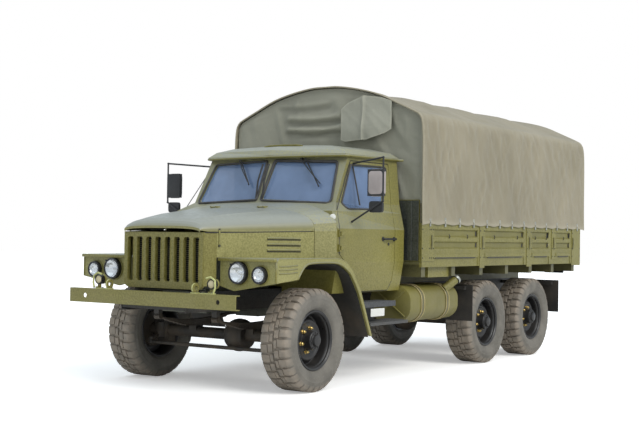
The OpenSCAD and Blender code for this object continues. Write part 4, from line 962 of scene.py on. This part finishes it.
seal = Shape()
for s in (-1, 1):
    path = []
    for x, z in sampled(grown(GLASS_LINE, 12), 50):
        hit = touch("cab_body", (x, -1500, z), (0, 1, 0), 3)
        if hit and hit[1] < CAB_FRONT_Y:
            path.append((s * hit[0], hit[1], hit[2]))
    seal.tube(path, 15, 10, closed=True, flat=0.7)
make("windshield_seal", seal, "chassis", black_rubber_and_shadow, smooth_angle=60)
for body, s in (("left_door", 1), ("right_door", -1)):
    strip, fittings, shut = Shape(), Shape(), Shape()
    strip.tube(on_door(s, grown(DOOR_GLASS, 11), 40, 2), 12, 8, closed=True, flat=0.7)
    strip.tube([(s * between(z, (1760, 2160), (985, 893)), 905, z) for z in (1768, 1900, 2050, 2158)], 8, 8)
    make(body + "_window_seal", strip, body, black_rubber_and_shadow, smooth_angle=60)
    handle = curve_through([(s * 1066, 1438, 1433), (s * 1098, 1425, 1433), (s * 1100, 1330, 1433),
                            (s * 1096, 1236, 1433), (s * 1068, 1222, 1433)], 16)
    fittings.tube(handle, 11, 10)
    for y in (1222, 1438):
        fittings.lathe([(0, 24), (6, 23), (9, 16), (10, 0)], (s * 1064, y, 1433), (s, 0, 0), 20)
    fittings.lathe([(0, 15), (5, 14), (6, 0)], (s * 1064, 1330, 1380), (s, 0, 0), 16)
    make(body + "_handle", fittings, body, black_plastic, smooth_angle=50)
    shut.tube(on_door(s, grown(DOOR_LINE, -3), 45, -3), 4.5, 6, closed=True)
    make(body + "_shut_line", shut, body, black_rubber_and_shadow, smooth_angle=60)


# gutter, roof vent, wipers, side lamps and mirrors
roof_trim, wipers = Shape(), Shape()
edge_ring = curve_through([(0, 683, 2262), (450, 705, 2262), (800, 760, 2262), (896, 800, 2262),
                           (925, 1000, 2262), (950, 1350, 2262), (968, 1640, 2262), (930, 1683, 2262),
                           (0, 1690, 2262), (-930, 1683, 2262), (-968, 1640, 2262), (-950, 1350, 2262),
                           (-925, 1000, 2262), (-896, 800, 2262), (-800, 760, 2262), (-450, 705, 2262)], 140,
                           closed=True)
roof_trim.tube(edge_ring, 13, 10, closed=True)
roof_trim.tube([(-187, 872, 2376), (-120, 866, 2386), (50, 862, 2388), (230, 866, 2386), (292, 872, 2376)],
               12, 8, flat=1.6)
make("roof_gutter", roof_trim, "chassis", olive_clean_sky_sheen, smooth_angle=50)


def on_screen(x, z, lift):
    """A point of the windshield plane, lifted toward the front."""
    t = (z - 1790) / 460
    middle, side = 514 + 230 * t, 590 + 242 * t
    half = 905 - 27 * t
    return (x, middle + (side - middle) * min(1, abs(x) / half) - lift, z)


for x0, z0, x1, z1 in ((-455, 2322, -222, 2011), (365, 2299, 679, 1978)):
    wipers.tube([on_screen(x0, z0 - 60, 34), on_screen((x0 + x1) / 2, (z0 + z1) / 2 - 30, 46),
                 on_screen(x1, z1, 30)], 6, 6)
    cx, cz = (x0 + x1) / 2, (z0 + z1) / 2 - 20
    wipers.tube([on_screen(cx - 150, cz + 170, 26), on_screen(cx, cz, 24), on_screen(cx + 150, cz - 170, 26)],
                7, 6, flat=1.8)
    wipers.lathe([(0, 16), (22, 14), (26, 0)], on_screen(x0, z0 - 60, 0), (0, -1, 0.4), 16)
for x in (40, -40):
    wipers.tube([(x, 640, 2185), (x, 560, 2010), (x, 530, 1830)], 9, 8)
make("wipers", wipers, "chassis", black_plastic, smooth_angle=50)
marker = Shape()
for s in (-1, 1):
    marker.lathe([(0, 30), (16, 28), (22, 12), (22, 0)], (s * 1000, 400, 1640), (s * 0.5, -0.85, 0), 20)
make("side_lamps", marker, "chassis", blank, smooth_angle=60)

for body, s in (("left_door", 1), ("right_door", -1)):
    housing, glassy, lower = Shape(), Shape(), Shape()
    ring = rounded(rect(s * 1208, s * 1394, 1848, 2112), 46, 6)
    housing.loft([[(x + (s * 1301 - x) * k, y, z + (1980 - z) * k) for x, z in ring]
                  for y, k in ((724, 0.0), (716, -0.02), (700, 0.0), (684, 0.1), (679, 0.35))])
    lower.loft([[(x, y, z) for x, z in rounded(rect(s * 1226, s * 1376, 1690, 1800), 30, 5)]
                for y in (722, 690)])
    glassy.prism(rounded(rect(s * 1220, s * 1382, 1860, 2100), 36, 5), "y", 722, 726)
    make(body + "_mirror_housing", housing, body, mirror_back if s > 0 else black_plastic,
         smooth_angle=40)
    make(body + "_mirror_lower", lower, body, black_plastic, smooth_angle=40)
    make(body + "_mirror_pane", glassy, body, mirror_glass, smooth_angle=40)


# ---- cargo bed ----

boards, ironwork, clasps, painted_shadows = (Shape() for _ in range(4))
PANELS = [(1916, 2976), (3150, 4194), (4425, 4936), (5155, 5609)]
lo, hi = (mm(p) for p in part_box("bed_boards"))
outer, inner, base, top = hi[0], hi[0] - 38, lo[2] + 31, 1605
wall = [(inner, 1143), (inner, top), (inner + 30, top), (inner + 32, top - 8), (inner + 32, 1545),
        (inner + 12, 1533), (inner + 12, 1475), (inner + 32, 1463), (inner + 32, 1415), (inner + 12, 1403),
        (inner + 12, 1350), (inner + 32, 1338), (inner + 32, 1287), (inner + 37.5, 1281),
        (inner + 37.5, 1243), (inner + 26, 1236), (inner + 26, 1143)]
flat_wall = [(inner, 1143), (inner, top), (inner + 30, top), (inner + 32, top - 8), (inner + 32, 1143)]
for s in (-1, 1):
    start, finish_y = lo[1], hi[1]
    cuts = [start] + [e for a, b in PANELS for e in (a, b)] + [finish_y]
    for i in range(len(cuts) - 1):
        inside_panel = i % 2 == 1
        outline = wall if inside_panel else flat_wall
        boards.prism([(s * x, z) for x, z in outline], "y", cuts[i], cuts[i + 1])
    for y0, y1, low in ((1692, 1880, 1203), (1880, 1957, 1203), (3012, 3136, 1120), (4263, 4407, 1120),
                        (5010, 5123, 1203), (5654, finish_y, 1120)):
        a, b = sorted((s * (outer - 8), s * outer))
        boards.box((a, b), (y0, y1), (low, 1602))
        for z in (1240, 1340, 1540):
            for y in (y0 + 18, y1 - 18):
                ironwork.lathe([(0, 9), (3, 8), (5, 0)], (s * (outer - 1), y, z), (s, 0, 0), 10)
    for y in (2293, 2711, 3382, 3999, 4516, 4846, 5382):
        ironwork.tube([(s * (outer - 7), y, 1492), (s * (outer + 4), y, 1478), (s * (outer + 4), y, 1462),
                       (s * (outer - 5), y, 1450)], 5, 6)
    for y in (1897, 3074, 4335, 5066, 5690):
        clasps.tube([(s * (outer + 2), y, 1330), (s * (outer + 7), y, 1400), (s * (outer + 3), y, 1480)], 8,
                    8)
boards.prism(rounded([(-1205, 1203), (1205, 1203), (1205, 1848), (1180, 1850), (-1180, 1850), (-1205, 1848)],
                     [0, 0, 4, 12, 12, 4]), "y", lo[1], lo[1] + 26)
make("side_boards", boards, "chassis", olive, ["bed_boards"], bevel=2.2, segments=2, angle=24)
make("board_hooks", ironwork, "chassis", black_plastic, smooth_angle=45)
# painted shadow: dark boxes at the rear end of each recess band and under the ledge
for s in (-1, 1):
    for y0, y1 in PANELS:
        x0, x1 = sorted((s * (inner + 8), s * (inner + 14)))
        for z0, z1 in ((1478, 1530), (1353, 1400)):
            painted_shadows.box((x0, x1), (y1 - 34, y1 - 3), (z0, z1))
        x0, x1 = sorted((s * (inner + 22), s * (inner + 39)))
        painted_shadows.box((x0, x1), (y0 + 70, y1 - 70), (1234, 1244))
make("board_gaps", painted_shadows, "chassis", black_rubber_and_shadow)
make("board_clasps", clasps, "chassis", olive_dark_and_shade, smooth_angle=45)
# headboard slats in nearly black olive: painted shade in the gap behind the cab
head = Shape()
head.box((-1204, 1204), (lo[1] - 6, lo[1] - 1), (1210, 1842))
for i in range(9):
    x = -1100 + 275 * i
    head.box((x - 24, x + 24), (lo[1] - 18, lo[1] - 4), (1212, 1838))
for z in (1420, 1640):
    head.box((-1200, 1200), (lo[1] - 12, lo[1] - 4), (z, z + 34))
make("headboard_slats", head, "chassis", headboard_painted_shade, bevel=2)

TAIL_LAMP_X, TAIL_LAMP_Z = 900, 1060
gate, lamps_red, lamps_amber, plates = Shape(), Shape(), Shape(), Shape()
gate_rear = mm(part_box("tailgate")[1])[1]
for k in range(5):
    x = -960 + 480 * k
    gate.box((x - 26, x + 26), (gate_rear - 34, gate_rear - 22), (1222, 1595))
for z in (1330, 1470):
    gate.box((-1130, 1130), (gate_rear - 34, gate_rear - 26), (z - 22, z + 22))
for s in (-1, 1):
    gate.tube([(s * 1120, gate_rear - 24, 1500), (s * 1150, gate_rear - 22, 1500),
               (s * 1150, gate_rear - 22, 1560)], 8, 8)
make("tailgate_ribs", gate, "tailgate", olive, bevel=2)
for s in (-1, 1):
    x = s * TAIL_LAMP_X
    plates.box((x - 130, x + 130), (hi[1] - 60, hi[1] - 20), (1010, 1112))
    lamps_red.lathe([(-8, 40), (4, 39), (12, 24), (14, 0)], (x - 60, hi[1] - 18, TAIL_LAMP_Z), (0, 1, 0), 30)
    lamps_amber.lathe([(-8, 40), (4, 39), (12, 24), (14, 0)], (x + 60, hi[1] - 18, TAIL_LAMP_Z), (0, 1, 0), 30)
make("tail_lamp_boxes", plates, "chassis", black_plastic, bevel=4, segments=2)
make("tail_lamp_red", lamps_red, "chassis", red_lens, smooth_angle=60)
make("tail_lamp_amber", lamps_amber, "chassis", amber_lens, smooth_angle=60)


# ---- tank, steps and plate ----

tank, straps, edges, cap = Shape(), Shape(), Shape(), Shape()
drum = rounded([(645, 660), (740, 565), (1055, 565), (1150, 660), (1150, 850), (1055, 945), (740, 945),
                (645, 850)], 70, 6)
middle = (897, 755)
tank.loft([[(x + (middle[0] - x) * k, y, z + (middle[1] - z) * k) for x, z in drum]
           for y, k in ((1652, 0.05), (1656, 0.012), (1668, 0.0), (2000, 0.0), (2350, 0.0), (2682, 0.0),
                        (2694, 0.012), (2698, 0.05))])
for a, b in (((720, 620), (1075, 890)), ((720, 890), (1075, 620))):
    tank.tube([(a[0], 1654, a[1]), (middle[0], 1650, middle[1]), (b[0], 1654, b[1])], 9, 8, flat=1.6)
tank.tube([(1090, 2450, 885), (1135, 2640, 985)], 46, 24)
for y in (1900, 2440):
    for shape, grow, half in ((straps, 6, 26), (edges, 8, 30)):
        ring = [(middle[0] + (x - middle[0]) * (1 + grow / 250),
                 middle[1] + (z - middle[1]) * (1 + grow / 190)) for x, z in drum]
        if shape is straps:
            shape.loft([[(x, yy, z) for x, z in ring] for yy in (y - half, y + half)])
        else:
            for yy in (y - half, y + half):
                shape.tube([(x, yy, z) for x, z in ring], 4, 6, closed=True)
cap.lathe([(0, 56), (6, 58), (30, 58), (36, 52), (38, 0)], (1135, 2640, 985), (0.02, 0.88, 0.48), 36)
make("tank_shell", tank, "chassis", olive, ["fuel_tank"], smooth_angle=28)
make("tank_straps", straps, "chassis", olive_dark_and_shade, smooth_angle=28)
make("tank_strap_edges", edges, "chassis", cream, smooth_angle=50)
make("tank_cap", cap, "chassis", silver)

treads_on, white_plate = Shape(), Shape()
for s in (-1, 1):
    for k in range(12):
        x = s * (912 + 17 * k)
        treads_on.box((x - 4, x + 4), (760, 1376), (799, 806))
        treads_on.box((x - 4, x + 4), (885, 1586), (599, 605))
    a, b = sorted((s * 1118, s * 1124))
    treads_on.box((a, b), (745, 1390), (752, 808))
white_plate.prism(rounded(rect(912, 1168, 660, 738), 8), "x", 1122, 1127)
make("step_treads", treads_on, "chassis", step_paint, bevel=1)
make("blank_plate", white_plate, "chassis", blank)


# ---- seats ----

PAD_FRAMES = 20
PAD_LIMIT = 0.018  # metres


def pad(shape_box):
    """A cushion: a closed cloth shell whose growth under pressure is held to PAD_LIMIT."""
    (x0, x1), (y0, y1), (z0, z1) = shape_box
    bm = bmesh.new()
    bmesh.ops.create_cube(bm, size=1.0)
    bmesh.ops.subdivide_edges(bm, edges=bm.edges, cuts=15, use_grid_fill=True)
    size = ((x1 - x0), (y1 - y0), (z1 - z0))
    for v in bm.verts:
        p = [v.co[k] * 2 for k in range(3)]
        q = []
        for k in range(3):
            a, b = abs(p[(k + 1) % 3]), abs(p[(k + 2) % 3])
            q.append(p[k] * (1 - 0.07 * smooth((max(a, b) - 0.7) / 0.3)))
        spot = at((x0 + x1) / 2 + q[0] * size[0] / 2, (y0 + y1) / 2 + q[1] * size[1] / 2,
                  (z0 + z1) / 2 + q[2] * size[2] / 2)
        v.co = spot
    mesh = bpy.data.meshes.new("pad")
    bm.to_mesh(mesh)
    bm.free()
    o = bpy.data.objects.new("pad", mesh)
    scene.collection.objects.link(o)
    start = [v.co.copy() for v in mesh.vertices]
    cloth = o.modifiers.new("cloth", "CLOTH")
    cloth.settings.quality = 4
    cloth.settings.mass = 0.25
    cloth.settings.tension_stiffness = 12
    cloth.settings.compression_stiffness = 12
    cloth.settings.bending_stiffness = 0.3
    cloth.settings.use_pressure = True
    cloth.settings.uniform_pressure_force = 4
    cloth.settings.effector_weights.gravity = 0
    cloth.point_cache.frame_start, cloth.point_cache.frame_end = 1, PAD_FRAMES
    for f in range(1, PAD_FRAMES + 1):
        scene.frame_set(f)
    applied(o)
    scene.frame_set(1)
    for v, old in zip(o.data.vertices, start):
        move = v.co - old
        if move.length > PAD_LIMIT:
            v.co = old + move.normalized() * PAD_LIMIT
    sub = o.modifiers.new("round", "SUBSURF")
    sub.levels = sub.render_levels = 1
    return applied(o)


for node, x0, x1 in (("driver_seat", 275, 745), ("passenger_seat", -765, 115)):
    slo, shi = (mm(p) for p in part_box(node))
    frame_box = Shape()
    frame_box.box((x0 + 25, x1 - 25), (950, 1470), (slo[2], 1226))
    frame_box.box((x0 + 30, x1 - 30), (shi[1] - 32, shi[1] - 6), (1200, shi[2] - 60))
    make(node + "_frame", frame_box, "chassis", black_plastic, bevel=8, segments=2)
    cushion = pad(((x0, x1), (948, 1395), (1240, 1358)))
    back = pad(((x0, x1), (1392, shi[1] - 40), (1370, shi[2] - 20)))
    joined(cushion, back)
    cushion.name = node + "_pads"
    finish(cushion, "chassis", seat_cloth, [node], 70)

for o in nodes.values():
    if any(word in o.name for word in ("cab_", "door", "wing", "cowl", "bumper", "hood_sides", "box", "tank",
                                       "steps", "rails")):
        soft = o.modifiers.new("worn edges", "BEVEL")
        soft.width, soft.segments, soft.limit_method, soft.angle_limit = 0.005, 2, "ANGLE", math.radians(38)


# ---- stage, light and camera ----

tiles = range(-60000, 60001, 6000)
backdrop = to_object("floor", Shape().grid([[(x, y, 0) for x in tiles] for y in tiles]))
f = Finish("pale floor")
seen = f.node("LightPath").outputs["Is Camera Ray"]
ground = f.node("BsdfDiffuse", Color=rgb(0.86, 0.86, 0.85))
shown = f.node("BsdfDiffuse", Color=rgb(1, 1, 1))
glow = f.node("Emission", Color=rgb(1, 1, 1), Strength=0.34)
bright = f.tree.nodes.new("ShaderNodeAddShader")
f.tree.links.new(shown.outputs[0], bright.inputs[0])
f.tree.links.new(glow.outputs[0], bright.inputs[1])
chosen = f.tree.nodes.new("ShaderNodeMixShader")
f.tree.links.new(seen, chosen.inputs[0])
f.tree.links.new(ground.outputs[0], chosen.inputs[1])
f.tree.links.new(bright.outputs[0], chosen.inputs[2])
f.tree.links.new(chosen.outputs[0], f.output.inputs["Surface"])
backdrop.data.materials.append(f.material)

world = bpy.data.worlds.new("studio")
scene.world = world
world.use_nodes = True
tree = world.node_tree
tree.nodes.clear()
path = tree.nodes.new("ShaderNodeLightPath")


def background(colour, strength):
    n = tree.nodes.new("ShaderNodeBackground")
    n.inputs["Color"].default_value = colour
    n.inputs["Strength"].default_value = strength
    return n


ambient = background(rgb(0.9, 0.95, 1.0), 0.5)
sky = background(rgb(0.8, 0.9, 1.0), 0.8)
white = background(rgb(1, 1, 1), 1.0)
first = tree.nodes.new("ShaderNodeMixShader")
second = tree.nodes.new("ShaderNodeMixShader")
end = tree.nodes.new("ShaderNodeOutputWorld")
tree.links.new(path.outputs["Is Glossy Ray"], first.inputs[0])
tree.links.new(ambient.outputs[0], first.inputs[1])
tree.links.new(sky.outputs[0], first.inputs[2])
tree.links.new(path.outputs["Is Camera Ray"], second.inputs[0])
tree.links.new(first.outputs[0], second.inputs[1])
tree.links.new(white.outputs[0], second.inputs[2])
tree.links.new(second.outputs[0], end.inputs["Surface"])


def lamp(name, aim, strength, spread, colour=(1, 1, 1)):
    """Sun-like studio lamp that shines along aim."""
    light = bpy.data.lights.new(name, "SUN")
    light.energy, light.angle, light.color = strength, math.radians(spread), colour
    o = bpy.data.objects.new(name, light)
    scene.collection.objects.link(o)
    o.rotation_euler = Vector(aim).to_track_quat("-Z", "Y").to_euler()
    return o


lamp("key", (-0.78, 0.18, -0.62), 1.9, 32, (1.0, 0.985, 0.95))
lamp("overhead", (0.15, 0.1, -1.0), 0.85, 90, (0.8, 0.92, 1.0))
lamp("fill", (0.2, 0.95, -0.3), 0.22, 100)

# fitted to the photo: focal length and sensor in mm, angles in degrees, place in metres
LENS, SENSOR = 66.94, 36.0
YAW_PITCH_ROLL = (34.64, 1.14, 0.85)
EYE = (7.4004, -11.5669, 1.44755)
camera = bpy.data.cameras.new("camera")
camera.lens, camera.sensor_width, camera.sensor_fit = LENS, SENSOR, "HORIZONTAL"
camera.clip_end = 300
eye = bpy.data.objects.new("camera", camera)
scene.collection.objects.link(eye)
yaw, pitch, roll = (math.radians(a) for a in YAW_PITCH_ROLL)
look = Vector((-math.sin(yaw) * math.cos(pitch), math.cos(yaw) * math.cos(pitch), math.sin(pitch)))
right = Vector((math.cos(yaw), math.sin(yaw), 0))
up = right.cross(look)
across = right * math.cos(roll) + up * math.sin(roll)
above = up * math.cos(roll) - right * math.sin(roll)
turn = Matrix((across, above, -look)).transposed().to_4x4()
eye.matrix_world = Matrix.Translation(EYE) @ turn
scene.camera = eye
scene.view_settings.view_transform = "Standard"
